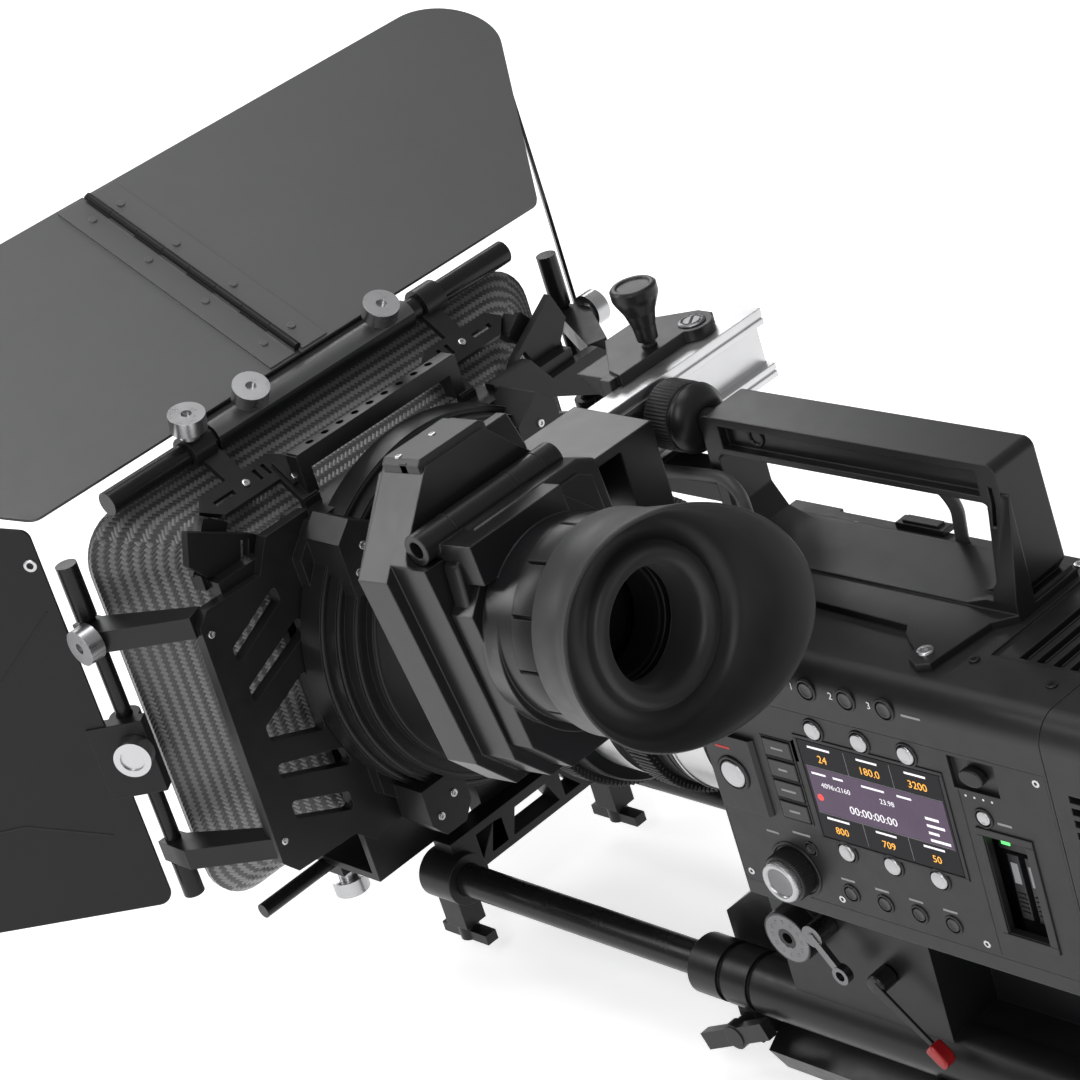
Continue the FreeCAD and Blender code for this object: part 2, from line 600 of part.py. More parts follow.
# Fan of openings in each wing plate, as (x, z) corners
WING_WINDOWS = [
    [(85, 173), (84.5, 164.7), (114.5, 150), (115, 158.5)],
    [(79, 154), (78, 145), (114, 130), (114, 138.5)],
    [(85, 130.5), (85, 99.5), (113, 110.5), (113, 118)],
    [(80, 87), (78, 77), (114.5, 92.5), (114.5, 99.5)],
    [(85, 67), (85, 57.5), (114.5, 71.5), (114.5, 80.5)],
]


def side_plate():
    """Left wing plate of the stage, lightened by a fan of openings, with the ear at its top."""
    outline = [(57, 194), (81, 194), (90, 180), (120, 180.5), (126, 175), (128.5, 57), (122, 49),
               (89, 47), (80, 38), (61, 40)]
    plate = prism_y(outline, -240, -234)
    for window in WING_WINDOWS:
        tool = prism_y(window, -245, -229)
        plate = plate.cut(tool.makeFillet(2, edges_along(tool, V(0, 1, 0), lambda m: True)))
    ear = prism_y([(75, 188), (80, 193.5), (110, 211), (115, 197), (108, 188), (90, 178)], -248, -244)
    ear = ear.cut(prism_y([(83, 192.5), (87, 194), (91, 184), (87, 182.5)], -250, -243))
    foot = box(84, 108, -246, -238, 179, 186)
    return join(plate, ear, foot)


# Brackets over the hood: flat plates that slope down to the rear with the hood's own slope.
SLOPE = math.atan(0.77)
DOWNHILL = V(0, math.cos(SLOPE), -math.sin(SLOPE))
PLATE_NORMAL = V(0, math.sin(SLOPE), math.cos(SLOPE))
PLATE_START = V(0, -276, 219)


def slope_slab(points, n0, n1):
    """Outline of (x, t) points on the sloping plane, t counted down the slope."""
    corners = [PLATE_START + V(x, 0, 0) + DOWNHILL * t + PLATE_NORMAL * n0 for x, t in points]
    return prism(corners, PLATE_NORMAL * (n1 - n0))


def slope_bracket():
    """Left bracket: a strap to the rod clamp, an arm to the crossbar and a leg to the wing plate."""
    band = [(62, -2), (72, -2), (71.5, 14), (86.5, 14), (92, 20), (84, 27.5), (52, 27.5), (52, 42),
            (43.5, 42), (42.5, 18), (48, 14), (62, 14)]
    plate = slope_slab(band, -1.5, 1.5)
    slots = [slope_slab([(72.5, 19.5), (84, 19.5), (84, 22), (72.5, 22)], -3, 3)]
    for x in (53.5, 58.5):
        slots.append(slope_slab([(x - 1, 17), (x + 1, 17), (x + 1, 23), (x - 1, 23)], -3, 3))
    strap = slope_slab([(43, 20), (50.5, 20), (50.5, 34), (43, 34)], 1.4, 3.4)
    leg = prism_y([(83.5, 200), (93, 206.5), (107.5, 186), (97.5, 180)], -259, -256)
    leg = leg.common(box(0, 200, -260, -255, 150, 206))
    leg.translate(V(3.2, 5, 2.4))
    heel = prism_y([(85.5, 201), (94, 208), (99, 201), (90, 195)], -260, -251)
    tail = box(96, 110, -254.2, -246, 182, 189)
    lip = box(43.5, 52, -245, -241, LENS_Z + STAGE_HALF - 3, 194)
    clamp = cyl_x(CLAMP_R, 64, 76, FLAG_ROD_Y, TOP_ROD_Z)
    return join(cut(plate, *slots), strap, leg, heel, tail, lip, clamp)


def upper_frame():
    """Drilled crossbar over the stage, its two sloping brackets, and the rod clamps."""
    top = box(-47, 47, -250, -242.5, 211.7, 213.7)
    rear = box(-47, 47, -244.5, -242.5, 205.5, 213.7)
    ends = [box(side * 45 - 3, side * 45 + 3, -250, -242.5, 194, 213) for side in (-1, 1)]
    big = [cyl_z(1.8, 210, 215, x, -247) for x in range(-36, 37, 9)]
    bar = cut(join(top, rear, *ends), *big)
    left = slope_bracket()
    frame = join(bar, left, mirrored(left))
    return frame.cut(cyl_x(TOP_ROD_R, -130, 130, FLAG_ROD_Y, TOP_ROD_Z))


def side_arm(z):
    """Arm from the wing plate to the left side rod."""
    arm = prism_z([(119, -240), (128, -236), (151.5, -271), (151.5, -290), (141.5, -290), (141, -282)],
                  z - 5, z + 5)
    return arm.cut(cyl_z(SMALL_ROD_R, z - 6, z + 6, SIDE_ROD_X, SIDE_ROD_Y))


def lower_arms():
    """Bracket under the stage that carries the bottom rod."""
    pieces = []
    for side in (-1, 1):
        x0, x1 = sorted((side * 30, side * 82))
        pieces.append(box(x0, x1, -286, -240, 14.5, 18))
        pieces.append(box(x0, x1, -244, -240, 14.5, 50))
        for x in (38, 72):
            a, b = sorted((side * (x - 6), side * (x + 6)))
            pieces.append(box(a, b, -287, -275, 5, 18))
    frame = join(*pieces)
    return frame.cut(cyl_x(SMALL_ROD_R, -130, 130, FLAG_ROD_Y, BOTTOM_ROD_Z))


def stage_frame():
    left = [side_plate(), side_arm(176), side_arm(64)]
    right = [mirrored(piece) for piece in left]
    return join(stage_plate(), upper_frame(), lower_arms(), *left, *right)


def rounded_wire(half_x, half_z, radius, y, z):
    """Rounded rectangle in an upright plane."""
    x1, z1 = half_x, half_z
    k = radius * (1 - math.sqrt(0.5))
    edges = []
    corners = [(x1, z1, 1, 1), (-x1, z1, -1, 1), (-x1, -z1, -1, -1), (x1, -z1, 1, -1)]
    points = []
    for cx, cz, sx, sz in corners:
        first = V(cx, y, z + cz - sz * radius)
        middle = V(cx - sx * k, y, z + cz - sz * k)
        last = V(cx - sx * radius, y, z + cz)
        if sx * sz < 0:
            first, last = last, first
        points.append((first, middle, last))
    for index, (first, middle, last) in enumerate(points):
        edges.append(Part.Arc(first, middle, last).toShape())
        following = points[(index + 1) % 4][0]
        edges.append(Part.LineSegment(last, following).toShape())
    return Part.Wire(edges)


def funnel(rear_half, front_half, y_rear, y_front, shrink):
    rear = rounded_wire(rear_half[0] - shrink, rear_half[1] - shrink, 10, y_rear, HOOD_Z)
    front = rounded_wire(front_half[0] - shrink, front_half[1] - shrink, 22, y_front, HOOD_Z)
    return Part.makeLoft([rear, front], True, True)


def hood():
    """Tapered sunshade with a thick front rim."""
    outer = funnel(HOOD_REAR_HALF, HOOD_FRONT_HALF, STAGE_FRONT, HOOD_FRONT, 0)
    inner = funnel(HOOD_REAR_HALF, HOOD_FRONT_HALF, STAGE_FRONT, HOOD_FRONT, 3)
    rim = Part.Face(rounded_wire(HOOD_FRONT_HALF[0], HOOD_FRONT_HALF[1], 22, HOOD_FRONT - 4, HOOD_Z))
    hole = Part.Face(rounded_wire(HOOD_FRONT_HALF[0] - 4, HOOD_FRONT_HALF[1] - 4, 18, HOOD_FRONT - 5, HOOD_Z))
    rim = rim.extrude(V(0, 12, 0)).cut(hole.extrude(V(0, 15, 0)))
    floor = box(-78, 78, STAGE_FRONT - 4, STAGE_FRONT, HOOD_Z - 68, HOOD_Z + 68)
    floor = floor.cut(cyl_y(60, STAGE_FRONT - 6, STAGE_FRONT + 1, 0, LENS_Z))
    return join(outer.cut(inner), rim, floor)


def flag_rods():
    """Top rod, bottom rod and the two side rods with their thicker ends."""
    top = cyl_x(TOP_ROD_R, -120, 120, FLAG_ROD_Y, TOP_ROD_Z)
    low = cyl_x(SMALL_ROD_R, -120, 120, FLAG_ROD_Y, BOTTOM_ROD_Z)
    sides = []
    for side in (-1, 1):
        rod = cyl_z(SMALL_ROD_R, 40, 209, side * SIDE_ROD_X, SIDE_ROD_Y)
        grips = [cyl_z(4.8, z0, z1, side * SIDE_ROD_X, SIDE_ROD_Y) for z0, z1 in ((40, 58), (183, 209))]
        sides.append(join(rod, *grips))
    return Part.makeCompound([top, low] + sides)


def cap_knob(base, axis, stem_length=4.5):
    """Silver thumb knob: a stem and a flat round head with a hex socket."""
    stem = Part.makeCylinder(4.5, stem_length + 0.5, base, axis)
    head = Part.makeCylinder(8.3, 7.5, base + axis * stem_length, axis)
    socket = Part.makeCylinder(2.4, 4, base + axis * (stem_length + 5), axis)
    return cut(join(stem, head), socket)


def frame_knobs():
    """Knobs that lock the flag rods in their clamps."""
    down = V(0, 0, -1)
    tilt = V(0, 0.3, 0.954)
    knobs = [cap_knob(V(72, FLAG_ROD_Y, TOP_ROD_Z) + tilt * CLAMP_R, tilt)]
    knobs += [cap_knob(V(side * 151.5, -275.5, 177), V(side, 0, 0), 1.0) for side in (-1, 1)]
    knobs += [cap_knob(V(x, FLAG_ROD_Y, 5), down) for x in (38, 72)]
    return Part.makeCompound(knobs)


# The top flag is laid out flat, x across and s forwards, and then set on its slope.
ALONG = V(0, -math.cos(FLAG_RISE), math.sin(FLAG_RISE))
UPWARD = V(0, math.sin(FLAG_RISE), math.cos(FLAG_RISE))


def on_flag(x, s, n):
    return V(0, FLAG_Y, FLAG_Z) + V(x, 0, 0) + ALONG * s + UPWARD * n


def flag_slab(points, n0, n1):
    """Outline of (x, s) points on the flag, from height n0 to n1 over its middle plane."""
    return prism([on_flag(x, s, n0) for x, s in points], UPWARD * (n1 - n0))


def flag_corner(shape, x, s, radius):
    """Round the corner of the sheet that stands at (x, s)."""
    spot = on_flag(x, s, 0)
    near = [edge for edge in shape.Edges if edge.BoundBox.Center.distanceToPoint(spot) < 3]
    return shape.makeFillet(radius, near)


def flag_sheet():
    half = FLAG_T / 2
    outline = [(0.4, 1), (FLAG_REAR_HALF, 1), (FLAG_FRONT_HALF, FLAG_LENGTH), (0.4, FLAG_LENGTH)]
    sheet = flag_slab(outline, -half, half)
    sheet = flag_corner(sheet, FLAG_REAR_HALF, 1, 8)
    return flag_corner(sheet, FLAG_FRONT_HALF, FLAG_LENGTH, 30)


RIVETS = (15.7, 53.6, 91.6, 129.5)
PIN_HEIGHT = 3.1


def rivet(x, s):
    return Part.makeCylinder(1.9, 0.9, on_flag(x, s, FLAG_T / 2 + 0.9), UPWARD)


def hinge_leaf():
    half = FLAG_T / 2
    leaf = flag_slab([(2.2, 2), (17, 2), (17, 144), (2.2, 144)], half - 0.1, half + 1)
    return join(leaf, *[rivet(8.4, s) for s in RIVETS])


def hinge_pin(s0, s1, radius):
    return Part.makeCylinder(radius, s1 - s0, on_flag(0, s0, PIN_HEIGHT), ALONG)


def knuckles(first):
    """Every other hinge knuckle along the fold, joined to its own leaf."""
    pieces = []
    for index in range(first, 8, 2):
        s0 = 3 + 17.5 * index
        barrel = hinge_pin(s0, s0 + 17.5 - GAP, 2.0)
        tongue = flag_slab([(0.3, s0), (3.2, s0), (3.2, s0 + 17.2), (0.3, s0 + 17.2)], 1.2, 1.9)
        pieces.append(join(barrel, tongue))
    return pieces


def top_flag_left():
    """Left half of the top flag, with the sleeve and web that turn on the top rod."""
    sleeve = cyl_x(SLEEVE_R, -57, 61, FLAG_ROD_Y, TOP_ROD_Z)
    web = flag_slab([(-57, -9), (61, -9), (61, 18), (-57, 18)], -4.2, -1.3)
    pad = flag_slab([(4, 3), (60, 3), (60, 17), (4, 17)], -1.4, -FLAG_T / 2 + 0.1)
    half = join(flag_sheet(), hinge_leaf(), sleeve, web, pad, *knuckles(0))
    return half.cut(cyl_x(TOP_ROD_R + RUN, -60, 66, FLAG_ROD_Y, TOP_ROD_Z))


def top_flag_right():
    """Right half, folding on the centre hinge; its knuckles fill the gaps of the other half."""
    half = join(mirrored(join(flag_sheet(), hinge_leaf())), *[mirrored(k) for k in knuckles(1)])
    return half


def hinge_knobs():
    """Knobs that lock the top flag's sleeve on the rod."""
    tilt = V(0, 0.55, 0.835).normalize()
    base = V(0, FLAG_ROD_Y, TOP_ROD_Z) + tilt * SLEEVE_R
    return Part.makeCompound([cap_knob(base + V(x, 0, 0), tilt) for x in (39.5, -39)])


# Each side flag is laid out along its own splayed sheet: s outwards and forwards, n off its outer face.
FLARE = math.radians(SIDE_FLARE)
SHEET_OUT = V(math.sin(FLARE), -math.cos(FLARE), 0)
SHEET_FACE = V(math.cos(FLARE), math.sin(FLARE), 0)
FLAG_KNOB_S = -3.0
FLAG_KNOB_Z = 120.0


def by_side_rod(s, n, z):
    return V(SIDE_ROD_X, SIDE_ROD_Y, z) + SHEET_OUT * s + SHEET_FACE * n


def side_flag():
    """Left side flag in its splayed position, with the sleeve and tab that turn on the rod."""
    outline = [(SIDE_REAR, 41), (145, 40), (145, 272), (SIDE_REAR, 231)]
    sheet = prism([by_side_rod(s, 6.4, z) for s, z in outline], SHEET_FACE * FLAG_T)
    for s, z, radius in [(145, 272, 26), (145, 40, 20), (SIDE_REAR, 231, 5), (SIDE_REAR, 41, 7)]:
        spot = by_side_rod(s, 6.4 + FLAG_T / 2, z)
        near = [edge for edge in sheet.Edges if edge.BoundBox.Center.distanceToPoint(spot) < 2]
        sheet = sheet.makeFillet(radius, near)
    sleeve = cyl_z(7.2, 98, 134, SIDE_ROD_X, SIDE_ROD_Y)
    tab = prism([by_side_rod(s, n, 98) for s, n in ((-10, 2), (16, 2), (16, 9), (-10, 9))], V(0, 0, 36))
    flag = join(sheet, tab, sleeve)
    return flag.cut(cyl_z(SMALL_ROD_R + RUN, 30, 240, SIDE_ROD_X, SIDE_ROD_Y))


def left_flag():
    hole = Part.makeCylinder(2.5 + RUN, 6, by_side_rod(FLAG_KNOB_S, 4.6, FLAG_KNOB_Z), SHEET_FACE)
    return side_flag().cut(hole)


def flag_knob():
    """Knob on the left flag's tab."""
    start = by_side_rod(FLAG_KNOB_S, 0, FLAG_KNOB_Z)
    stem = Part.makeCylinder(2.5, 6, start + SHEET_FACE * 4.8, SHEET_FACE)
    head = Part.makeCylinder(8.3, 7.5, start + SHEET_FACE * (9 + GAP), SHEET_FACE)
    dish = Part.makeCylinder(5.4, 2, start + SHEET_FACE * 15.8, SHEET_FACE)
    return cut(join(stem, head), dish)


# ---- Cables --------------------------------------------------------------------------------------
CABLE_R = 2.6
# Front cable: out of the rail clamp, back under the knob and down into the camera's brow.
FRONT_CABLE = [(14, -63, 217), (14, -32, 219.5), (14, -9, 221), (14, -7, 197), (14, -6, 180)]
# Rear cable: from the grip's underside, out to the right and down into the deck.
REAR_CABLE = [(-4, 62, 233), (-12, 77, 212), (-20, 67, 190), (-20, 66, 180)]


def cable(points):
    """Round cable on straight runs joined by tangent arcs, each as large as its runs allow."""
    spots = [V(*point) for point in points]
    edges = []
    cursor = spots[0]
    for before, corner, after in zip(spots, spots[1:], spots[2:]):
        run_in = corner - before
        run_out = after - corner
        turn = run_in.getAngle(run_out)
        reach = 0.45 * min(run_in.Length, run_out.Length)
        a = V(*run_in).normalize()
        b = V(*run_out).normalize()
        first = corner - a * reach
        last = corner + b * reach
        radius = reach / math.tan(turn / 2)
        inward = (b - a).normalize()
        middle = corner + inward * (radius / math.cos(turn / 2) - radius)
        edges.append(Part.LineSegment(cursor, first).toShape())
        edges.append(Part.Arc(first, middle, last).toShape())
        cursor = last
        print("cable bend radius %.1f mm" % radius)
    edges.append(Part.LineSegment(cursor, spots[-1]).toShape())
    path = Part.Wire(edges)
    start = Part.Wire(Part.makeCircle(CABLE_R, spots[0], spots[1] - spots[0]))
    tube = path.makePipeShell([start], True, False)
    print("cable length %.1f mm, volume ratio %.4f"
          % (path.Length, tube.Volume / (math.pi * CABLE_R ** 2 * path.Length)))
    return tube


# ---- The whole rig -------------------------------------------------------------------------------
parts["dovetail_plate"] = dovetail_plate()
parts["base_block"] = base_block()
parts["rods"] = rods()
parts["rosette_lever"] = rosette_lever()
parts["red_lever"] = red_lever()
parts["clamp_lever"] = clamp_lever()
parts["camera_body"] = camera_body()
parts["rear_module"] = rear_module()
parts["control_panel"] = control_panel()
parts["lcd_screen"] = lcd_screen()
for name, y, z, radius in ROUND_BUTTONS:
    parts[name] = round_button(y, z, radius, SIDE_X + (1.2 if radius > 3.5 else 0.6))
for index, z in enumerate(MENU_HEIGHTS):
    parts["menu_key_%d" % (index + 1)] = menu_key(z)
parts["rec_button"] = round_button(REC_Y, REC_Z, REC_R, SIDE_X + 3.2)
parts["jog_dial"] = jog_dial()
parts["power_switch"] = power_switch()
parts["memory_card_a"] = memory_card(138.0)
parts["memory_card_b"] = memory_card(146.0)
parts["handle"] = handle()
parts["handle_knob"] = handle_knob()
parts["mushroom_knob"] = mushroom_knob()
parts["vf_rail"] = vf_rail()
parts["vf_housing"] = tipped(vf_housing())
parts["eyepiece"] = tipped(eyepiece())
parts["diopter_ring"] = tipped(diopter_ring())
parts["eyecup"] = tipped(eyecup())
parts["lens_barrel"] = lens_barrel()
parts["focus_ring"] = lens_ring(FOCUS_R, -178, -150)
parts["zoom_ring"] = lens_ring(ZOOM_R, -134, -104)
parts["iris_ring"] = lens_ring(IRIS_R, -86, -52)
parts["front_bracket"] = front_bracket()
parts["bracket_lever_left"] = bracket_lever(1)
parts["bracket_lever_right"] = bracket_lever(-1)
parts["stage_frame"] = stage_frame()
parts["hood"] = hood()
parts["flag_rods"] = flag_rods()
parts["frame_knobs"] = frame_knobs()
parts["top_flag_left"] = top_flag_left()
parts["top_flag_right"] = top_flag_right()
parts["hinge_knobs"] = hinge_knobs()
parts["left_flag"] = left_flag()
parts["right_flag"] = mirrored(side_flag())
parts["flag_knob"] = flag_knob()
parts["handle_cable"] = Part.makeCompound([cable(FRONT_CABLE), cable(REAR_CABLE)])

os.makedirs("parts", exist_ok=True)
for node, shape in parts.items():
    placed = shape.copy()
    placed.translate(SHIFT)
    placed.exportStep("parts/%s.step" % node)
    print(node, "solids", len(placed.Solids), "valid", placed.isValid(), "volume %.0f" % placed.Volume)
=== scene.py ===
import json
import math

import bmesh
import bpy
from mathutils import Matrix, Vector


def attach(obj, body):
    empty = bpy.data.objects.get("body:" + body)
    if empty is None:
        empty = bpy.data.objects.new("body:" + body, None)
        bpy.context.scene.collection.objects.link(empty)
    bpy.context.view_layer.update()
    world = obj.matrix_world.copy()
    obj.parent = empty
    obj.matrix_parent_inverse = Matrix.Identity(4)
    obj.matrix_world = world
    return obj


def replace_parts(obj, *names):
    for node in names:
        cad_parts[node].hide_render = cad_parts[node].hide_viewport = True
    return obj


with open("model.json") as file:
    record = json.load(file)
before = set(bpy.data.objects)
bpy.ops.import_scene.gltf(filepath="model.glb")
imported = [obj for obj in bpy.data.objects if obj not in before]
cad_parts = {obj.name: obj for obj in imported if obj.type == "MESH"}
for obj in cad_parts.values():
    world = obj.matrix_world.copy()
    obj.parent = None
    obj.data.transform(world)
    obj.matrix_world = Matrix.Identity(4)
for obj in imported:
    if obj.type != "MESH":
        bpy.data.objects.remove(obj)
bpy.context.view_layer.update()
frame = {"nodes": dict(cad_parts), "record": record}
NODES = frame["nodes"]

# The rig is laid out in millimetres from the middle of the lens mount and the rods' axes.
# The model's own origin is the tripod hole, so every point is carried over by this shift.
SHIFT = Vector((0.0, -0.060, 0.045))
MM = 0.001
SIDE_X = 72.0
LENS_Z = 118.5
EYE_X = 118.0
EYE_Z = 220.6
VF_PIVOT = Vector((EYE_X, -30.0, 240.0))
VF_TIP = math.radians(6.0)
FLAG_RISE = math.radians(26.7)
SLOPE = math.atan(0.77)
SIDE_FLARE = math.radians(38.0)

X_AXIS = Vector((1, 0, 0))
Y_AXIS = Vector((0, 1, 0))
Z_AXIS = Vector((0, 0, 1))


# ---- Materials -------------------------------------------------------------------------------------
MATERIALS = {}


def shader(name):
    """A new material with an empty Principled surface, kept under its name."""
    mat = bpy.data.materials.new(name)
    MATERIALS[name] = mat
    mat.use_nodes = True
    nodes = mat.node_tree.nodes
    nodes.clear()
    out = nodes.new("ShaderNodeOutputMaterial")
    bsdf = nodes.new("ShaderNodeBsdfPrincipled")
    mat.node_tree.links.new(bsdf.outputs["BSDF"], out.inputs["Surface"])
    return mat.node_tree, bsdf


def noise(tree, coords, scale, detail=4.0, stretch=(1, 1, 1)):
    mapping = tree.nodes.new("ShaderNodeMapping")
    mapping.inputs["Scale"].default_value = stretch
    tree.links.new(coords, mapping.inputs["Vector"])
    tex = tree.nodes.new("ShaderNodeTexNoise")
    tex.inputs["Scale"].default_value = scale
    tex.inputs["Detail"].default_value = detail
    tree.links.new(mapping.outputs["Vector"], tex.inputs["Vector"])
    return tex.outputs["Fac"]


def spread(tree, value, low, high, from_low=0.3, from_high=0.7):
    node = tree.nodes.new("ShaderNodeMapRange")
    node.inputs["From Min"].default_value = from_low
    node.inputs["From Max"].default_value = from_high
    node.inputs["To Min"].default_value = low
    node.inputs["To Max"].default_value = high
    tree.links.new(value, node.inputs["Value"])
    return node.outputs["Result"]


def mix_colour(tree, factor, first, second):
    node = tree.nodes.new("ShaderNodeMix")
    node.data_type = "RGBA"
    tree.links.new(factor, node.inputs["Factor"])
    for socket, value in ((node.inputs["A"], first), (node.inputs["B"], second)):
        if isinstance(value, tuple):
            socket.default_value = value + (1.0,)
        else:
            tree.links.new(value, socket)
    return node.outputs["Result"]


def bump(tree, height, distance, strength=1.0, under=None):
    node = tree.nodes.new("ShaderNodeBump")
    node.inputs["Distance"].default_value = distance
    node.inputs["Strength"].default_value = strength
    tree.links.new(height, node.inputs["Height"])
    if under is not None:
        tree.links.new(under, node.inputs["Normal"])
    return node.outputs["Normal"]


def finish(name, colour, rough, metallic=0.0, grain=2500.0, depth=0.00002, stretch=(1, 1, 1), edge=0.00035,
           edge_highlight_and_wear=0.35, coat=0.0, specular=0.33, sheen=0.0, mottle=0.14, emission=None):
    """A worked surface: fine grain in the relief, slow drift of colour and gloss, and edges painted lighter:
    a painted highlight, partly rubbed wear.
    """
    tree, bsdf = shader(name)
    coords = tree.nodes.new("ShaderNodeTexCoord").outputs["Object"]
    slow = noise(tree, coords, 38.0, 5.0)
    fine = noise(tree, coords, grain, 3.0, stretch)
    dark = tuple(c * (1 - mottle) for c in colour)
    light = tuple(min(1.0, c * (1 + mottle)) for c in colour)
    tint = mix_colour(tree, spread(tree, slow, 0.0, 1.0), dark, light)
    rounded = tree.nodes.new("ShaderNodeBevel")
    rounded.samples = 4
    rounded.inputs["Radius"].default_value = edge
    geometry = tree.nodes.new("ShaderNodeNewGeometry")
    dot = tree.nodes.new("ShaderNodeVectorMath")
    dot.operation = "DOT_PRODUCT"
    tree.links.new(rounded.outputs["Normal"], dot.inputs[0])
    tree.links.new(geometry.outputs["Normal"], dot.inputs[1])
    # Painted highlight: the colour lightens towards the edge colour where the rounded normal leaves the face
    # normal, standing for edge highlights and partly for rubbed wear.
    edge_highlight_mask = spread(tree, dot.outputs["Value"], edge_highlight_and_wear, 0.0, 0.80, 0.97)
    highlight_and_worn_edge = tuple(min(1.0, c * 1.6 + 0.05) for c in colour)
    tint = mix_colour(tree, edge_highlight_mask, tint, highlight_and_worn_edge)
    tree.links.new(tint, bsdf.inputs["Base Color"])
    rough_low, rough_high = rough
    gloss = noise(tree, coords, 160.0, 6.0)
    tree.links.new(spread(tree, gloss, rough_low, rough_high), bsdf.inputs["Roughness"])
    tree.links.new(bump(tree, fine, depth, 1.0, rounded.outputs["Normal"]), bsdf.inputs["Normal"])
    bsdf.inputs["Metallic"].default_value = metallic
    bsdf.inputs["Specular IOR Level"].default_value = specular
    bsdf.inputs["Coat Weight"].default_value = coat
    bsdf.inputs["Coat Roughness"].default_value = 0.15
    bsdf.inputs["Sheen Weight"].default_value = sheen
    if emission is not None:
        bsdf.inputs["Emission Color"].default_value = colour + (1.0,)
        bsdf.inputs["Emission Strength"].default_value = emission


def scalar(tree, operation, first, second=None):
    node = tree.nodes.new("ShaderNodeMath")
    node.operation = operation
    for socket, value in zip(node.inputs, (first, second)):
        if value is None:
            continue
        if isinstance(value, (int, float)):
            socket.default_value = value
        else:
            tree.links.new(value, socket)
    return node.outputs["Value"]


def twill(name, tow):
    """Two by two carbon twill under a satin coat, laid out on the piece's own unrolled sides."""
    tree, bsdf = shader(name)
    uv = tree.nodes.new("ShaderNodeUVMap")
    uv.uv_map = "unrolled"
    split = tree.nodes.new("ShaderNodeSeparateXYZ")
    tree.links.new(uv.outputs["UV"], split.inputs["Vector"])
    diagonal = math.sqrt(0.5) / tow
    u = scalar(tree, "MULTIPLY", split.outputs["X"], diagonal)
    v = scalar(tree, "MULTIPLY", split.outputs["Y"], diagonal)
    across = scalar(tree, "ADD", u, v)
    along = scalar(tree, "SUBTRACT", u, v)
    step = scalar(tree, "SUBTRACT", scalar(tree, "FLOOR", across), scalar(tree, "FLOOR", along))
    phase = scalar(tree, "FLOORED_MODULO", step, 4.0)
    over = scalar(tree, "LESS_THAN", phase, 1.5)
    crowns = []
    for part in (across, along):
        centred = scalar(tree, "SUBTRACT", scalar(tree, "FRACT", part), 0.5)
        squared = scalar(tree, "POWER", centred, 2.0)
        crowns.append(scalar(tree, "SUBTRACT", 1.0, scalar(tree, "MULTIPLY", squared, 4.0)))
    height = tree.nodes.new("ShaderNodeMix")
    tree.links.new(over, height.inputs["Factor"])
    tree.links.new(crowns[1], height.inputs["A"])
    tree.links.new(crowns[0], height.inputs["B"])
    fibres = noise(tree, uv.outputs["UV"], 900.0, 3.0, (1.0, 0.25, 1.0))
    warp = mix_colour(tree, fibres, (0.030, 0.030, 0.031), (0.060, 0.060, 0.062))
    weft = mix_colour(tree, fibres, (0.130, 0.130, 0.133), (0.200, 0.200, 0.205))
    tree.links.new(mix_colour(tree, over, warp, weft), bsdf.inputs["Base Color"])
    tree.links.new(spread(tree, over, 0.46, 0.30, 0.0, 1.0), bsdf.inputs["Roughness"])
    tree.links.new(bump(tree, height.outputs["Result"], 0.00025, 0.8), bsdf.inputs["Normal"])
    bsdf.inputs["Coat Weight"].default_value = 0.25
    bsdf.inputs["Coat Roughness"].default_value = 0.22


# Each finish below paints its edges lighter by its edge share, a painted highlight that partly stands for
# rubbed wear.
finish("black_aluminium", (0.011, 0.011, 0.012), (0.30, 0.38), 0.25, 3200, 0.000006)
finish("rod_black", (0.010, 0.010, 0.011), (0.22, 0.30), 0.3, 1800, 0.000004, (1, 0.05, 1))
finish("bright_steel", (0.52, 0.52, 0.53), (0.20, 0.28), 1.0, 2400, 0.000004, edge_highlight_and_wear=0.1, mottle=0.06)
finish("red_lever", (0.28, 0.008, 0.010), (0.32, 0.42), 0.35, 2600, 0.00001, coat=0.3)
finish("camera_black", (0.013, 0.013, 0.014), (0.34, 0.42), 0.0, 2600, 0.00002, edge=0.0007, edge_highlight_and_wear=0.3)
finish("panel_black", (0.012, 0.012, 0.013), (0.36, 0.44), 0.0, 3000, 0.00002, edge_highlight_and_wear=0.4)
finish("display", (0.006, 0.005, 0.007), (0.12, 0.18), 0.0, 300, 0.000001, specular=0.12, edge_highlight_and_wear=0.1)
finish("silver_button", (0.42, 0.42, 0.43), (0.26, 0.34), 1.0, 3000, 0.000003, edge_highlight_and_wear=0.2, mottle=0.05)
finish("dark_button", (0.020, 0.020, 0.021), (0.28, 0.38), 0.0, 2600, 0.00001, edge_highlight_and_wear=0.8)
finish("dial_metal", (0.020, 0.020, 0.021), (0.30, 0.42), 0.3, 2600, 0.00001, edge_highlight_and_wear=0.6)
finish("card_plastic", (0.014, 0.014, 0.016), (0.30, 0.42), 0.0, 2600, 0.00002, edge_highlight_and_wear=0.7)
finish("handle_black", (0.012, 0.012, 0.013), (0.32, 0.36), 0.1, 2800, 0.000004, edge=0.0009, edge_highlight_and_wear=0.5,
       mottle=0.06)
finish("silver_aluminium", (0.66, 0.66, 0.67), (0.34, 0.40), 1.0, 900, 0.000002, (0.04, 1, 1), edge_highlight_and_wear=0.15,
       mottle=0.03)
finish("vf_plastic", (0.009, 0.009, 0.010), (0.28, 0.31), 0.0, 2600, 0.000004, edge=0.0009, edge_highlight_and_wear=0.6,
       mottle=0.05)
finish("eyecup_rubber", (0.014, 0.014, 0.015), (0.40, 0.48), 0.0, 1800, 0.00001, edge=0.001, sheen=0.08,
       edge_highlight_and_wear=0.2)
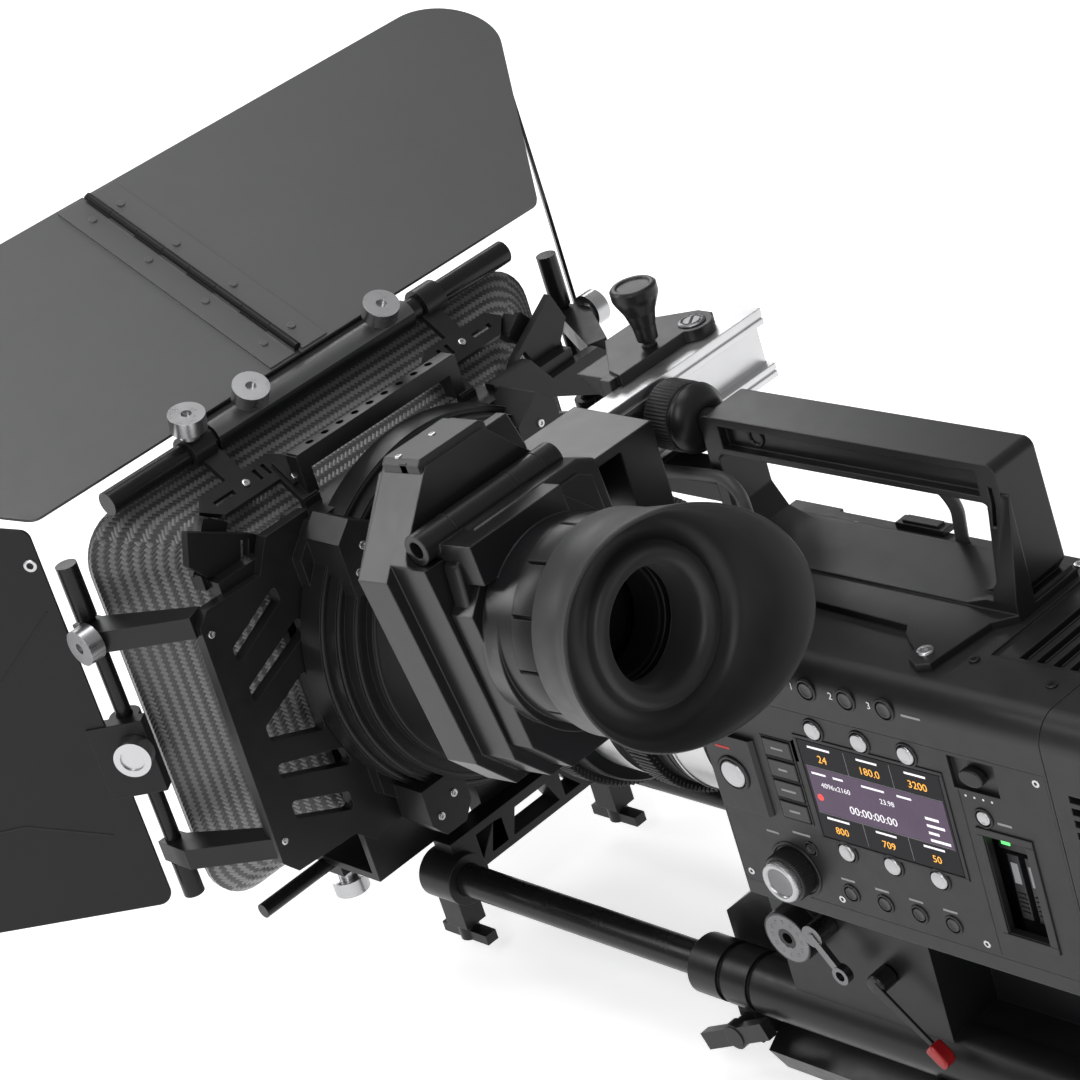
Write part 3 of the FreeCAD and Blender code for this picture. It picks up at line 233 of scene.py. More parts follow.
finish("silver_barrel", (0.56, 0.56, 0.56), (0.28, 0.34), 1.0, 900, 0.000001, (1, 0.05, 1), edge=0.00015,
       edge_highlight_and_wear=0.1, mottle=0.03)
finish("gear_black", (0.010, 0.010, 0.011), (0.30, 0.40), 0.2, 2600, 0.00001, edge_highlight_and_wear=0.5)
twill("carbon_weave", 0.0017)
# The grey of the top flags is painted light from above, lighter than their black undersides.
finish("flag_grey", (0.100, 0.100, 0.101), (0.42, 0.48), 0.45, 3400, 0.000006, edge=0.0005, edge_highlight_and_wear=0.9,
       mottle=0.02)
finish("flag_black", (0.007, 0.007, 0.008), (0.36, 0.44), 0.0, 3400, 0.000006, edge=0.0005, edge_highlight_and_wear=0.5,
       mottle=0.05, specular=0.22)
finish("knob_grey", (0.48, 0.48, 0.49), (0.26, 0.32), 1.0, 1600, 0.000001, edge=0.00015, edge_highlight_and_wear=0.1,
       mottle=0.03)
finish("dark_steel", (0.16, 0.16, 0.165), (0.26, 0.34), 1.0, 2400, 0.000004, edge_highlight_and_wear=0.3)
finish("cable_grey", (0.075, 0.075, 0.078), (0.38, 0.50), 0.0, 1400, 0.00003, edge_highlight_and_wear=0.1)
# finishes that only small pieces carry
finish("rubber_black", (0.010, 0.010, 0.010), (0.50, 0.62), 0.0, 1800, 0.00004)
finish("glass_dark", (0.006, 0.006, 0.008), (0.03, 0.07), 0.0, 200, 0.000001, coat=1.0, edge_highlight_and_wear=0.0)
finish("paint_white", (0.70, 0.70, 0.70), (0.45, 0.55), 0.0, 3000, 0.000005, edge_highlight_and_wear=0.0)
finish("paint_grey", (0.25, 0.25, 0.26), (0.45, 0.55), 0.0, 3000, 0.000005, edge_highlight_and_wear=0.0)
finish("paint_red", (0.45, 0.02, 0.02), (0.40, 0.50), 0.0, 3000, 0.000005, edge_highlight_and_wear=0.0)
finish("glow_white", (0.80, 0.78, 0.82), (0.3, 0.4), emission=0.45, edge_highlight_and_wear=0.0)
finish("glow_orange", (0.90, 0.42, 0.06), (0.3, 0.4), emission=0.60, edge_highlight_and_wear=0.0)
finish("glow_green", (0.10, 0.80, 0.16), (0.2, 0.3), emission=1.2, edge_highlight_and_wear=0.0)
finish("glow_red", (0.85, 0.05, 0.04), (0.3, 0.4), emission=0.6, edge_highlight_and_wear=0.0)
finish("glow_violet", (0.075, 0.052, 0.085), (0.2, 0.3), specular=0.12, emission=0.4, edge_highlight_and_wear=0.0)


# ---- Mesh helpers ----------------------------------------------------------------------------------
def at(point):
    """A point of the rig's layout, in millimetres, as a point of the model."""
    return Vector(point) * MM + SHIFT


def tipped(point):
    """The same point once the viewfinder is set on its slight tilt."""
    turn = Matrix.Rotation(VF_TIP, 3, "X")
    return turn @ (Vector(point) - VF_PIVOT) + VF_PIVOT


def sideways(axis):
    """Two directions square to an axis and to each other, and the axis at unit length."""
    axis = Vector(axis).normalized()
    helper = Z_AXIS if abs(axis.z) < 0.9 else X_AXIS
    u = axis.cross(helper).normalized()
    return u, axis.cross(u).normalized(), axis


def loop(bm, centre, u, v, radii, place):
    """Closed row of vertices; radii is one radius for each step round the axis."""
    count = len(radii)
    row = []
    for i, r in enumerate(radii):
        a = 2 * math.pi * i / count
        row.append(bm.verts.new(at(place(centre + (u * math.cos(a) + v * math.sin(a)) * r))))
    return row


def stitch(bm, first, second):
    """Faces between two closed rows of the same length."""
    count = len(first)
    for i in range(count):
        j = (i + 1) % count
        bm.faces.new((first[i], first[j], second[j], second[i]))


def same(point):
    return point


def spun(bm, base, axis, profile, steps=48, shape=None, place=same, closed=True):
    """Turned solid: profile is (radius, height) rows; shape(row, angle) may scale a row's radius."""
    u, v, w = sideways(axis)
    base = Vector(base)
    rows = []
    for index, (r, h) in enumerate(profile):
        radii = []
        for i in range(steps):
            factor = shape(index, 2 * math.pi * i / steps) if shape else 1.0
            radii.append(max(r * factor, 0.01))
        rows.append(loop(bm, base + w * h, u, v, radii, place))
    for first, second in zip(rows, rows[1:]):
        stitch(bm, first, second)
    if closed:
        bm.faces.new(list(reversed(rows[0])))
        bm.faces.new(rows[-1])
    else:
        stitch(bm, rows[-1], rows[0])


def slab(bm, points, direction, place=same):
    """Solid with a flat outline of points carried along one direction."""
    direction = Vector(direction)
    low = [bm.verts.new(at(place(Vector(p)))) for p in points]
    high = [bm.verts.new(at(place(Vector(p) + direction))) for p in points]
    bm.faces.new(low)
    bm.faces.new(list(reversed(high)))
    stitch(bm, high, low)


def block(bm, x0, x1, y0, y1, z0, z1, place=same):
    slab(bm, [(x0, y0, z0), (x1, y0, z0), (x1, y1, z0), (x0, y1, z0)], (0, 0, z1 - z0), place)


def hexagon(size):
    """Radius of a hexagon at an angle, size being half its width across the flats."""
    def radius(angle):
        sector = math.pi / 3
        return size / math.cos((angle % sector) - sector / 2)
    return radius


def screw(bm, base, axis, radius, height, place=same):
    """Screw head with a rounded edge and a real hexagonal socket."""
    u, v, w = sideways(axis)
    base = Vector(base)
    steps = 48
    outline = hexagon(radius * 0.42)
    socket = [outline(2 * math.pi * i / steps) for i in range(steps)]
    head = ((1.0, 0.0), (1.0, 0.7), (0.93, 0.93), (0.84, 1.0))
    bore = ((1.06, 1.0), (1.0, 0.94), (0.96, 0.35))
    rows = [([radius * share] * steps, height * up) for share, up in head]
    rows += [([s * share for s in socket], height * up) for share, up in bore]
    made = [loop(bm, base + w * h, u, v, radii, place) for radii, h in rows]
    for first, second in zip(made, made[1:]):
        stitch(bm, first, second)
    bm.faces.new(list(reversed(made[0])))
    bm.faces.new(made[-1])


def placed(name, data):
    """A new object in the scene that shows the data."""
    obj = bpy.data.objects.new(name, data)
    bpy.context.scene.collection.objects.link(obj)
    return obj


def bevelled(obj, width, segments, angle):
    mod = obj.modifiers.new("edges", "BEVEL")
    mod.width = width * MM
    mod.segments = segments
    mod.limit_method = "ANGLE"
    mod.angle_limit = math.radians(angle)
    return mod


def piece(name, bm, material, body, bevel=0.0, segments=2, angle=35.0):
    """Turns a built mesh into a piece that rides on its body."""
    bmesh.ops.recalc_face_normals(bm, faces=bm.faces)
    mesh = bpy.data.meshes.new(name)
    bm.to_mesh(mesh)
    bm.free()
    mesh.shade_smooth()
    mesh.set_sharp_from_angle(angle=math.radians(angle))
    mesh.materials.append(MATERIALS[material])
    obj = placed(name, mesh)
    if bevel:
        bevelled(obj, bevel, segments, angle).harden_normals = True
    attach(obj, body)
    return obj


def body_of(node):
    for body, members in frame["record"]["behaviour"]["bodies"].items():
        if node in members:
            return body
    return "base"


def softened(node, material, width):
    """A copy of a CAD part with its sharp edges broken, which stands for that part."""
    angle = 28.0
    bm = bmesh.new()
    bm.from_mesh(NODES[node].data)
    bmesh.ops.remove_doubles(bm, verts=bm.verts, dist=2e-6)
    bmesh.ops.dissolve_limit(bm, angle_limit=math.radians(0.6), verts=bm.verts, edges=bm.edges)
    obj = piece(node + "_body", bm, material, body_of(node), angle=angle)
    mod = bevelled(obj, width, 2, angle)
    mod.use_clamp_overlap = True
    mod.miter_outer = "MITER_ARC"
    weighted = obj.modifiers.new("normals", "WEIGHTED_NORMAL")
    weighted.weight = 100
    weighted.keep_sharp = False
    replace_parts(obj, node)


def label(name, text, size, centre, right, up, material, body):
    """Flat printed or lit numerals; centre, right and up are in the rig's layout."""
    curve = bpy.data.curves.new(name, "FONT")
    curve.body = text
    curve.size = size * MM
    curve.extrude = 0.06 * MM
    curve.align_x = "CENTER"
    curve.align_y = "CENTER"
    curve.resolution_u = 3
    temp = placed(name + "_curve", curve)
    graph = bpy.context.evaluated_depsgraph_get()
    mesh = bpy.data.meshes.new_from_object(temp.evaluated_get(graph))
    bpy.data.objects.remove(temp)
    middle = at(centre)
    w = right.cross(up)
    for vertex in mesh.vertices:
        c = vertex.co.copy()
        vertex.co = middle + right * c.x + up * c.y + w * c.z
    mesh.materials.clear()
    mesh.materials.append(MATERIALS[material])
    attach(placed(name, mesh), body)


# ---- Finishes of the CAD parts ---------------------------------------------------------------------
# shown as the CAD has them
PLAIN = {
    "rods": "rod_black", "rosette_lever": "dark_steel", "lcd_screen": "display",
    "mushroom_knob": "handle_black", "lens_barrel": "silver_barrel", "flag_rods": "rod_black",
    "frame_knobs": "knob_grey", "hinge_knobs": "knob_grey", "flag_knob": "knob_grey",
    "bracket_lever_left": "gear_black", "bracket_lever_right": "gear_black", "clamp_lever": "black_aluminium",
    "handle_cable": "cable_grey", "rear_module": "camera_black",
}
# shown as copies with their edges broken by this width in millimetres
SOFTENED = {
    "dovetail_plate": ("black_aluminium", 0.5), "base_block": ("black_aluminium", 0.5),
    "camera_body": ("camera_black", 0.6), "control_panel": ("panel_black", 0.35),
    "handle": ("handle_black", 0.7),
    "vf_rail": ("silver_aluminium", 0.5), "vf_housing": ("vf_plastic", 1.2), "eyepiece": ("vf_plastic", 1.0),
    "front_bracket": ("black_aluminium", 0.4), "stage_frame": ("black_aluminium", 0.4),
    # the grey of the top flags is painted light from above
    "top_flag_left": ("flag_grey", 0.35), "top_flag_right": ("flag_grey", 0.35),
    "left_flag": ("flag_black", 0.35), "right_flag": ("flag_black", 0.35),
}

for node, material in PLAIN.items():
    NODES[node].data.materials.clear()
    NODES[node].data.materials.append(MATERIALS[material])
for node, (material, width) in SOFTENED.items():
    softened(node, material, width)


# ---- Hood ------------------------------------------------------------------------------------------
HOOD_Z = 117.0
HOOD_SECTIONS = [(-250.0, 80.0, 70.0, 10.0), (-291.0, 133.0, 98.0, 22.0)]
# sloping length for each millimetre of depth, on the hood's roof and floor and on its two sides
HOOD_SLANT = (1.21, 1.63)
HOOD_OPENING = 60.5


def hood_section(y):
    """Half width, half height and corner radius of the hood at one depth."""
    (y0, w0, h0, r0), (y1, w1, h1, r1) = HOOD_SECTIONS
    t = min(max((y - y0) / (y1 - y0), 0.0), 1.0)
    return w0 + (w1 - w0) * t, h0 + (h1 - h0) * t, r0 + (r1 - r0) * t


def hood_panels(half_x, half_z, radius):
    """The four sides of a rounded rectangle, each as (x, z, length from its own middle) points."""
    panels = []
    for k in range(4):
        half_a, half_b = (half_x, half_z) if k % 2 == 0 else (half_z, half_x)
        flat = half_a - radius
        points = []
        for i in range(4, 0, -1):
            turn = math.radians(11.25 * i)
            points.append((-flat - radius * math.sin(turn), half_b - radius + radius * math.cos(turn),
                           -flat - radius * turn))
        for i in range(9):
            a = -flat + 2 * flat * i / 8
            points.append((a, half_b, a))
        points += [(-a, b, -u) for a, b, u in reversed(points[:4])]
        facing = {0: lambda a, b: (a, b), 1: lambda a, b: (b, -a), 2: lambda a, b: (-a, -b),
                  3: lambda a, b: (-b, a)}[k]
        panels.append([facing(a, b) + (u,) for a, b, u in points])
    return panels


def hood_shell():
    """Carbon sunshade: outer skin, rolled front rim and inner skin, closed at the stage."""
    profile = [(-250.0, 0.0), (-256.0, 0.0), (-270.0, 0.0), (-284.0, 0.0), (-291.0, 0.0), (-293.9, 0.2),
               (-295.0, 1.3), (-295.0, 2.7), (-293.9, 3.7), (-291.0, 3.9), (-284.0, 3.4), (-270.0, 3.4),
               (-254.0, 3.4), (-250.0, 3.4)]
    bm = bmesh.new()
    layer = bm.loops.layers.uv.new("unrolled")
    grids = []
    walked = 0.0
    before = None
    for y, inset in profile:
        if before:
            walked += math.hypot(y - before[0], inset - before[1])
        before = (y, inset)
        half_x, half_z, radius = hood_section(y)
        panels = hood_panels(half_x - inset, half_z - inset, max(radius - inset, 3.0))
        ring = [bm.verts.new(at((x, y, HOOD_Z + z))) for panel in panels for x, z, u in panel[:-1]]
        grids.append((ring, panels, walked))
    segments = len(grids[0][1][0]) - 1
    total = len(grids[0][0])
    for (ring_a, panels_a, va), (ring_b, panels_b, vb) in zip(grids, grids[1:] + grids[:1]):
        for k in range(4):
            for i in range(segments):
                start = k * segments + i
                after = (start + 1) % total
                face = bm.faces.new((ring_a[start], ring_a[after], ring_b[after], ring_b[start]))
                marks = ((panels_a[k][i][2], va), (panels_a[k][i + 1][2], va),
                         (panels_b[k][i + 1][2], vb), (panels_b[k][i][2], vb))
                for corner, (u, v) in zip(face.loops, marks):
                    corner[layer].uv = (u * MM, v * HOOD_SLANT[k % 2] * MM)
    return bm


def hood_floor():
    """Plate at the back of the hood with the round opening."""
    bm = bmesh.new()
    rings = []
    for y in (-253.8, -250.6):
        panels = hood_panels(77.5, 67.5, 10.0)
        outer = [(x, z) for panel in panels for x, z, u in panel[:-1]]
        inner = []
        for x, z in outer:
            reach = math.hypot(x, z)
            inner.append((x * HOOD_OPENING / reach, z * HOOD_OPENING / reach + LENS_Z - HOOD_Z))
        rings.append([bm.verts.new(at((x, y, HOOD_Z + z))) for x, z in outer])
        rings.append([bm.verts.new(at((x, y, HOOD_Z + z))) for x, z in inner])
    stitch(bm, rings[0], rings[1])
    stitch(bm, rings[1], rings[3])
    stitch(bm, rings[3], rings[2])
    stitch(bm, rings[2], rings[0])
    return bm


shell = piece("hood_shell", hood_shell(), "carbon_weave", "matte_box", angle=50.0)
piece("hood_floor", hood_floor(), "black_aluminium", "matte_box")
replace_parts(shell, "hood")


# ---- Shared small shapes ---------------------------------------------------------------------------
def rigged(point):
    """A point of the model, taken back to the rig's layout in millimetres."""
    return (Vector(point) - SHIFT) / MM


def second_finish(node, material, test):
    """Gives the faces of a piece whose middle passes the test another finish."""
    obj = bpy.data.objects[node + "_body"]
    obj.data.materials.append(MATERIALS[material])
    index = len(obj.data.materials) - 1
    for face in obj.data.polygons:
        if test(rigged(obj.matrix_world @ face.center)):
            face.material_index = index


def toothed(teeth, depth, rows, flat=0.5):
    """Shape of a row with teeth: full radius on the tips, less in the gaps between them."""
    def shape(row, angle):
        if row not in rows:
            return 1.0
        return 1.0 if (angle * teeth / (2 * math.pi) + 1e-4) % 1.0 < flat else 1.0 - depth
    return shape


def boxes(name, spans, material, body, bevel=0.0, segments=2, place=same):
    """A piece made of plain boxes, each (first x, last x, first y, last y, first z, last z)."""
    bm = bmesh.new()
    for span in spans:
        block(bm, *span, place)
    return piece(name, bm, material, body, bevel, segments)


def plate(name, outline, direction, material, body, bevel=0.0, segments=2, place=same):
    """A piece made of one flat outline carried along a direction."""
    bm = bmesh.new()
    slab(bm, outline, direction, place)
    return piece(name, bm, material, body, bevel, segments)


def turned(name, spots, axis, rows, material, body, steps=48, shape=None, place=same, closed=True,
           angle=35.0):
    """A piece made of the same turned solid at each of the spots."""
    bm = bmesh.new()
    for spot in spots:
        spun(bm, spot, axis, rows, steps, shape, place, closed)
    return piece(name, bm, material, body, angle=angle)


def screws(name, heads, material, body, place=same):
    """A piece made of screws, each (middle of the seat, axis, radius, height)."""
    bm = bmesh.new()
    for spot, axis, radius, height in heads:
        screw(bm, spot, axis, radius, height, place)
    return piece(name, bm, material, body)


def strokes(marks, x, height):
    """Boxes of short printed strokes on the left side: each mark is (first y, last y, z)."""
    return [(x - 0.05, x + 0.05, y0, y1, z - height / 2, z + height / 2) for y0, y1, z in marks]


def border(x0, x1, outer, inner):
    """Four bars between two rectangles, each (first y, last y, first z, last z)."""
    y0, y1, z0, z1 = outer
    y2, y3, z2, z3 = inner
    bars = ((y0, y1, z3, z1), (y0, y1, z0, z2), (y0, y2, z2, z3), (y3, y1, z2, z3))
    return [(x0, x1) + bar for bar in bars]


# ---- Left side: buttons, prints and display --------------------------------------------------------
LCD_BUTTONS = [(y, z) for z in (159.3, 105.4) for y in (62.4, 85.0, 107.4)]
SMALL_BUTTONS = [(y, 85.4) for y in (58.1, 75.0, 91.7, 108.1)]
ASSIGN_BUTTONS = [(y, 177.0) for y in (64.7, 83.9, 102.3)]
CANCEL_BUTTON = (42.6, 101.5)
SLOT_BUTTON = (137.5, 139.9)
RECORD_BUTTON = (14.0, 130.0)
MENU_ROWS = (146.3, 136.9, 127.5, 118.1)
DIAL = (SIDE_X, 31, 89)
GLASS_X = 72.28


def bezels():
    for name, radius, spots in (("lcd_bezels", 3.8, LCD_BUTTONS), ("small_bezels", 2.9, SMALL_BUTTONS),
                                ("cancel_bezel", 2.2, [CANCEL_BUTTON]), ("slot_bezel", 3.0, [SLOT_BUTTON]),
                                ("assign_bezels", 3.4, ASSIGN_BUTTONS)):
        rows = [(radius + 0.35, -0.2), (radius + 1.3, -0.2), (radius + 1.3, 0.3), (radius + 1.0, 0.6),
                (radius + 0.5, 0.6), (radius + 0.35, 0.35)]
        turned(name, [(SIDE_X, y, z) for y, z in spots], X_AXIS, rows, "gear_black", "base", closed=False)
    rows = [(6.35, -0.2), (7.9, -0.2), (7.9, 0.4), (7.4, 0.8), (6.6, 0.8), (6.35, 0.5)]
    turned("record_bezel", [(SIDE_X + 2, *RECORD_BUTTON)], X_AXIS, rows, "gear_black", "base", 64,
           closed=False)


def button_caps():
    """Dished caps with a turned ring."""
    def group(prefix, radius, proud, spots, material):
        return [("%s_%d" % (prefix, n + 1), radius, proud, spot, material) for n, spot in enumerate(spots)]

    caps = group("lcd_button", 3.8, 1.2, LCD_BUTTONS, "silver_button")
    caps.append(("rec_button", 6.0, 3.2, RECORD_BUTTON, "silver_button"))
    caps.append(("slot_button", 3.0, 0.6, SLOT_BUTTON, "silver_button"))
    caps += group("assign_button", 3.4, 0.6, ASSIGN_BUTTONS, "dark_button")
    caps += group("small_button", 2.9, 0.6, SMALL_BUTTONS, "dark_button")
    caps.append(("cancel_button", 2.2, 0.6, CANCEL_BUTTON, "dark_button"))
    for name, radius, proud, spot, material in caps:
        rows = [(radius, -6.5), (radius, proud - 0.7), (radius * 0.96, proud - 0.25), (radius * 0.88, proud),
                (radius * 0.76, proud), (radius * 0.70, proud - 0.12), (radius * 0.35, proud - 0.3),
                (0.05, proud - 0.36)]
        cap = turned(name + "_cap", [(SIDE_X, *spot)], X_AXIS, rows, material, name, angle=50.0)
        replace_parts(cap, name)


def menu_keys():
    """Keys with one line of print each, set in narrow frames."""
    for index, z in enumerate(MENU_ROWS):
        key = "menu_key_%d" % (index + 1)
        span = (66.5, SIDE_X + 0.75, 33.5, 47.3, z - 3.8, z + 3.8)
        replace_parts(boxes(key + "_cap", [span], "dark_button", key, 0.45, 3), key)
        half = (6.2, 4.6, 7.4, 5.4)[index] / 2
        boxes(key + "_print", strokes([(40.4 - half, 40.4 + half, z)], SIDE_X + 0.76, 1.0), "paint_grey", key)
        bars = ((32.4, 33.1, z - 4.6, z + 4.6), (47.7, 48.4, z - 4.6, z + 4.6),
                (33.1, 47.7, z + 4.2, z + 4.6), (33.1, 47.7, z - 4.6, z - 4.2))
        spans = [(SIDE_X - 0.1, SIDE_X + 0.3) + bar for bar in bars]
        boxes("menu_frame_%d" % (index + 1), spans, "gear_black", "base", 0.08, 1)


def display():
    """Frame, tile, rules, short words and numerals of the display."""
    frame_bars = border(SIDE_X - 0.2, SIDE_X + 0.45, (50.4, 122.6, 108.4, 155.4), (52.1, 120.9, 109.9, 153.9))
    boxes("lcd_frame", frame_bars, "gear_black", "base", 0.25, 2)
    boxes("lcd_tile", [(GLASS_X, GLASS_X + 0.06, 53.6, 119.6, 121.6, 142.2)], "glow_violet", "base")
    rules = [(y - 0.12, y + 0.12, z, z + 10.0) for y in (75.0, 97.0) for z in (142.6, 111.2)]
    rules += [(53.6, 119.6, z - 0.1, z + 0.1) for z in (142.4, 121.4)]
    boxes("lcd_rules", [(GLASS_X, GLASS_X + 0.08) + rule for rule in rules], "paint_grey", "base")
    marks = [(57, 68, 151.2), (81, 91, 151.2), (104, 114, 151.2), (55.5, 62.5, 139.4), (66, 71, 139.4),
             (80, 91, 139.4), (97, 104, 139.4), (57, 68, 119.6), (81, 91, 119.6), (104, 114, 119.6)]
    words = strokes(marks, GLASS_X + 0.09, 0.9)
    for i, reach in enumerate((6.5, 8.5, 5.0, 9.5)):
        words.append((GLASS_X + 0.02, GLASS_X + 0.12, 108.5, 108.5 + reach, 132.2 - 3.2 * i, 133.4 - 3.2 * i))
    boxes("lcd_words", words, "glow_white", "base")
    dot = (GLASS_X + 0.02, 56.6, 128.6)
    turned("lcd_record_dot", [dot], X_AXIS, [(1.5, 0), (1.5, 0.08)], "glow_red", "base", 24)
    numerals = [
        ("24", 4.6, 63.0, 146.4, "glow_orange"), ("180.0", 4.6, 86.0, 146.4, "glow_orange"),
        ("3200", 4.6, 109.0, 146.4, "glow_orange"), ("800", 4.4, 63.0, 114.6, "glow_orange"),
        ("709", 4.4, 86.0, 114.6, "glow_orange"), ("50", 4.4, 109.0, 114.6, "glow_orange"),
        ("4096x2160", 3.2, 66.0, 134.6, "glow_white"), ("23.98", 3.2, 91.0, 134.6, "glow_white"),
        ("00:00:00:00", 5.0, 82.0, 126.4, "glow_white"),
    ]
    for index, (text, size, y, z, material) in enumerate(numerals):
        label("lcd_numerals_%d" % index, text, size, (GLASS_X + 0.1, y, z), Y_AXIS, Z_AXIS, material, "base")


def panel_prints():
    marks = [(20.5, 27.0, 104.4), (35.0, 44.0, 107.4), (17.5, 27.5, 79.1), (143.5, 150.0, 139.2),
             (110.0, 119.0, 176.6)]
    marks += [(y - 3.4, y + 3.4, z + 6.0) for y, z in SMALL_BUTTONS]
    boxes("panel_prints", strokes(marks, SIDE_X + 0.03, 1.0), "paint_grey", "base")
    boxes("record_print", strokes([(8.0, 15.5, 141.5)], SIDE_X + 2.03, 1.1), "paint_red", "base")
    for index, (y, z) in enumerate(ASSIGN_BUTTONS):
        label("assign_numeral_%d" % (index + 1), str(index + 1), 4.2, (SIDE_X + 0.05, y - 7.4, z), Y_AXIS,
              Z_AXIS, "paint_white", "base")


def jog_dial():
    """Knurled rim, polished chamfer, dished face and the seat around them."""
    rows = [(10.0, 0.35), (10.2, 0.8), (10.2, 6.4), (9.7, 7.1), (8.8, 7.5)]
    rim = turned("jog_dial_rim", [DIAL], X_AXIS, rows, "dial_metal", "jog_dial", 288,
                 toothed(72, 0.05, (1, 2)), angle=40)
    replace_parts(rim, "jog_dial")
    rows = [(5.9, 7.2), (8.9, 7.2), (8.9, 9.2), (8.3, 10.2), (7.4, 10.4), (6.5, 10.2), (5.9, 9.4)]
    turned("jog_dial_face", [DIAL], X_AXIS, rows, "silver_button", "jog_dial", 288, toothed(72, 0.03, (1, 2)),
           closed=False, angle=60)
    rows = [(6.1, 7.2), (6.1, 9.6), (5.4, 9.5), (3.0, 9.0), (0.05, 8.9)]
    turned("jog_dial_dish", [DIAL], X_AXIS, rows, "dark_steel", "jog_dial", 64, angle=60)
    rows = [(10.8, -0.2), (12.4, -0.2), (12.4, 0.35), (12.0, 0.7), (11.2, 0.7), (10.8, 0.4)]
    turned("jog_dial_seat", [DIAL], X_AXIS, rows, "gear_black", "base", 72, closed=False)


def power_switch():
    """Oval glossy slider in its recess, and four index dots."""
    oval = []
    for i in range(32):
        a = 2 * math.pi * i / 32
        oval.append((SIDE_X - 1.6, 137.5 + 5.4 * math.cos(a), 157.2 + 3.6 * math.sin(a)))
    knob = plate("power_switch_knob", oval, (3.4, 0, 0), "dial_metal", "power_switch", 0.7, 3)
    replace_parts(knob, "power_switch")
    dots = [(SIDE_X, 131.5 + 4.0 * n, 148.0) for n in range(4)]
    turned("switch_dots", dots, X_AXIS, [(0.5, -0.02), (0.5, 0.06)], "paint_white", "base", 16)


def card_bay():
    """Raised frame, the two cards behind it and the plate with the card light."""
    bars = border(SIDE_X - 0.3, SIDE_X + 0.7, (132.5, 158.0, 86.5, 135.4), (135.2, 154.3, 89.7, 132.3))
    boxes("card_bay_frame", bars, "panel_black", "base", 0.3, 2)
    for name, y in (("memory_card_a", 138.0), ("memory_card_b", 146.0)):
        card = boxes(name + "_body", [(46.2, 66.5, y, y + 5.2, 93.2, 121.5)], "card_plastic", name, 0.35, 2)
        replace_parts(card, name)
        ribs = [(66.3, 66.9, y + 0.8, y + 4.4, 96.0 + 2.0 * n, 96.9 + 2.0 * n) for n in range(5)]
        boxes(name + "_ribs", ribs, "gear_black", name)
        boxes(name + "_tag", [(66.4, 66.6, y + 1.0, y + 4.2, 109.0, 118.0)], "paint_grey", name)
    boxes("card_light_plate", [(60.0, 67.4, 136.2, 153.2, 124.0, 131.4)], "gear_black", "base", 0.4, 2)
    boxes("card_light", [(67.3, 67.8, 138.2, 142.2, 126.4, 128.6)], "glow_green", "base", 0.2, 2)


def panel_fittings():
    """Seam between the front and rear halves of the panel, and its small screws."""
    boxes("panel_seam", [(SIDE_X - 0.15, SIDE_X + 0.08, 128.2, 128.7, 78.0, 149.6)], "rubber_black", "base")
    spots = ((4.5, 81.0), (4.5, 161.5), (166.5, 81.0), (166.5, 161.5), (52.0, 81.0), (122.5, 81.0))
    heads = [((SIDE_X - 0.25, y, z), X_AXIS, 1.6, 0.5) for y, z in spots]
    screws("panel_screws", heads, "bright_steel", "base")


bezels()
button_caps()
menu_keys()
display()
panel_prints()
jog_dial()
power_switch()
card_bay()
panel_fittings()


# ---- Camera top ------------------------------------------------------------------------------------
DECK_SEAT_Z = 186.9


def camera_top():
    heads = [((x, y, DECK_SEAT_Z), Z_AXIS, 2.2, 0.8) for x, y in ((46.0, 125.5), (49.9, 163.2))]
    screws("deck_screws", heads, "black_aluminium", "base")
    heads = [((51.5, 108.5, DECK_SEAT_Z + 3.0), Z_AXIS, 3.2, 1.4)]
    spots = ((-16.5, 14.7), (-16.5, 52.4), (-20.0, 122.0))
    heads += [((x, y, DECK_SEAT_Z), Z_AXIS, 2.3, 1.0) for x, y in spots]
    screws("foot_screws", heads, "bright_steel", "base")
    connector = [(-27, -20.5, 33, 57, 186.8, 189.5), (-26, -21.5, 36, 54, 189.4, 190.6)]
    boxes("deck_connector", connector, "panel_black", "base", 0.4, 2)
    ribs = [(-13.6, 37.6, 142.9 + 7.4 * n, 143.4 + 7.4 * n, 185.7, 186.3) for n in range(7)]
    boxes("deck_ribs", ribs, "camera_black", "base")
    bm = bmesh.new()
    ring = [(2.6, -0.6), (4.2, -0.6), (4.2, 0.4), (3.8, 0.7), (3.0, 0.7), (2.6, 0.3)]
    spun(bm, (7.4, 1.5, 237.0), X_AXIS, ring, 40, closed=False)
    spun(bm, (7.2, 1.5, 237.0), X_AXIS, [(2.6, -0.4), (2.6, 0.0)], 32)
    piece("handle_boss", bm, "gear_black", "base")


camera_top()


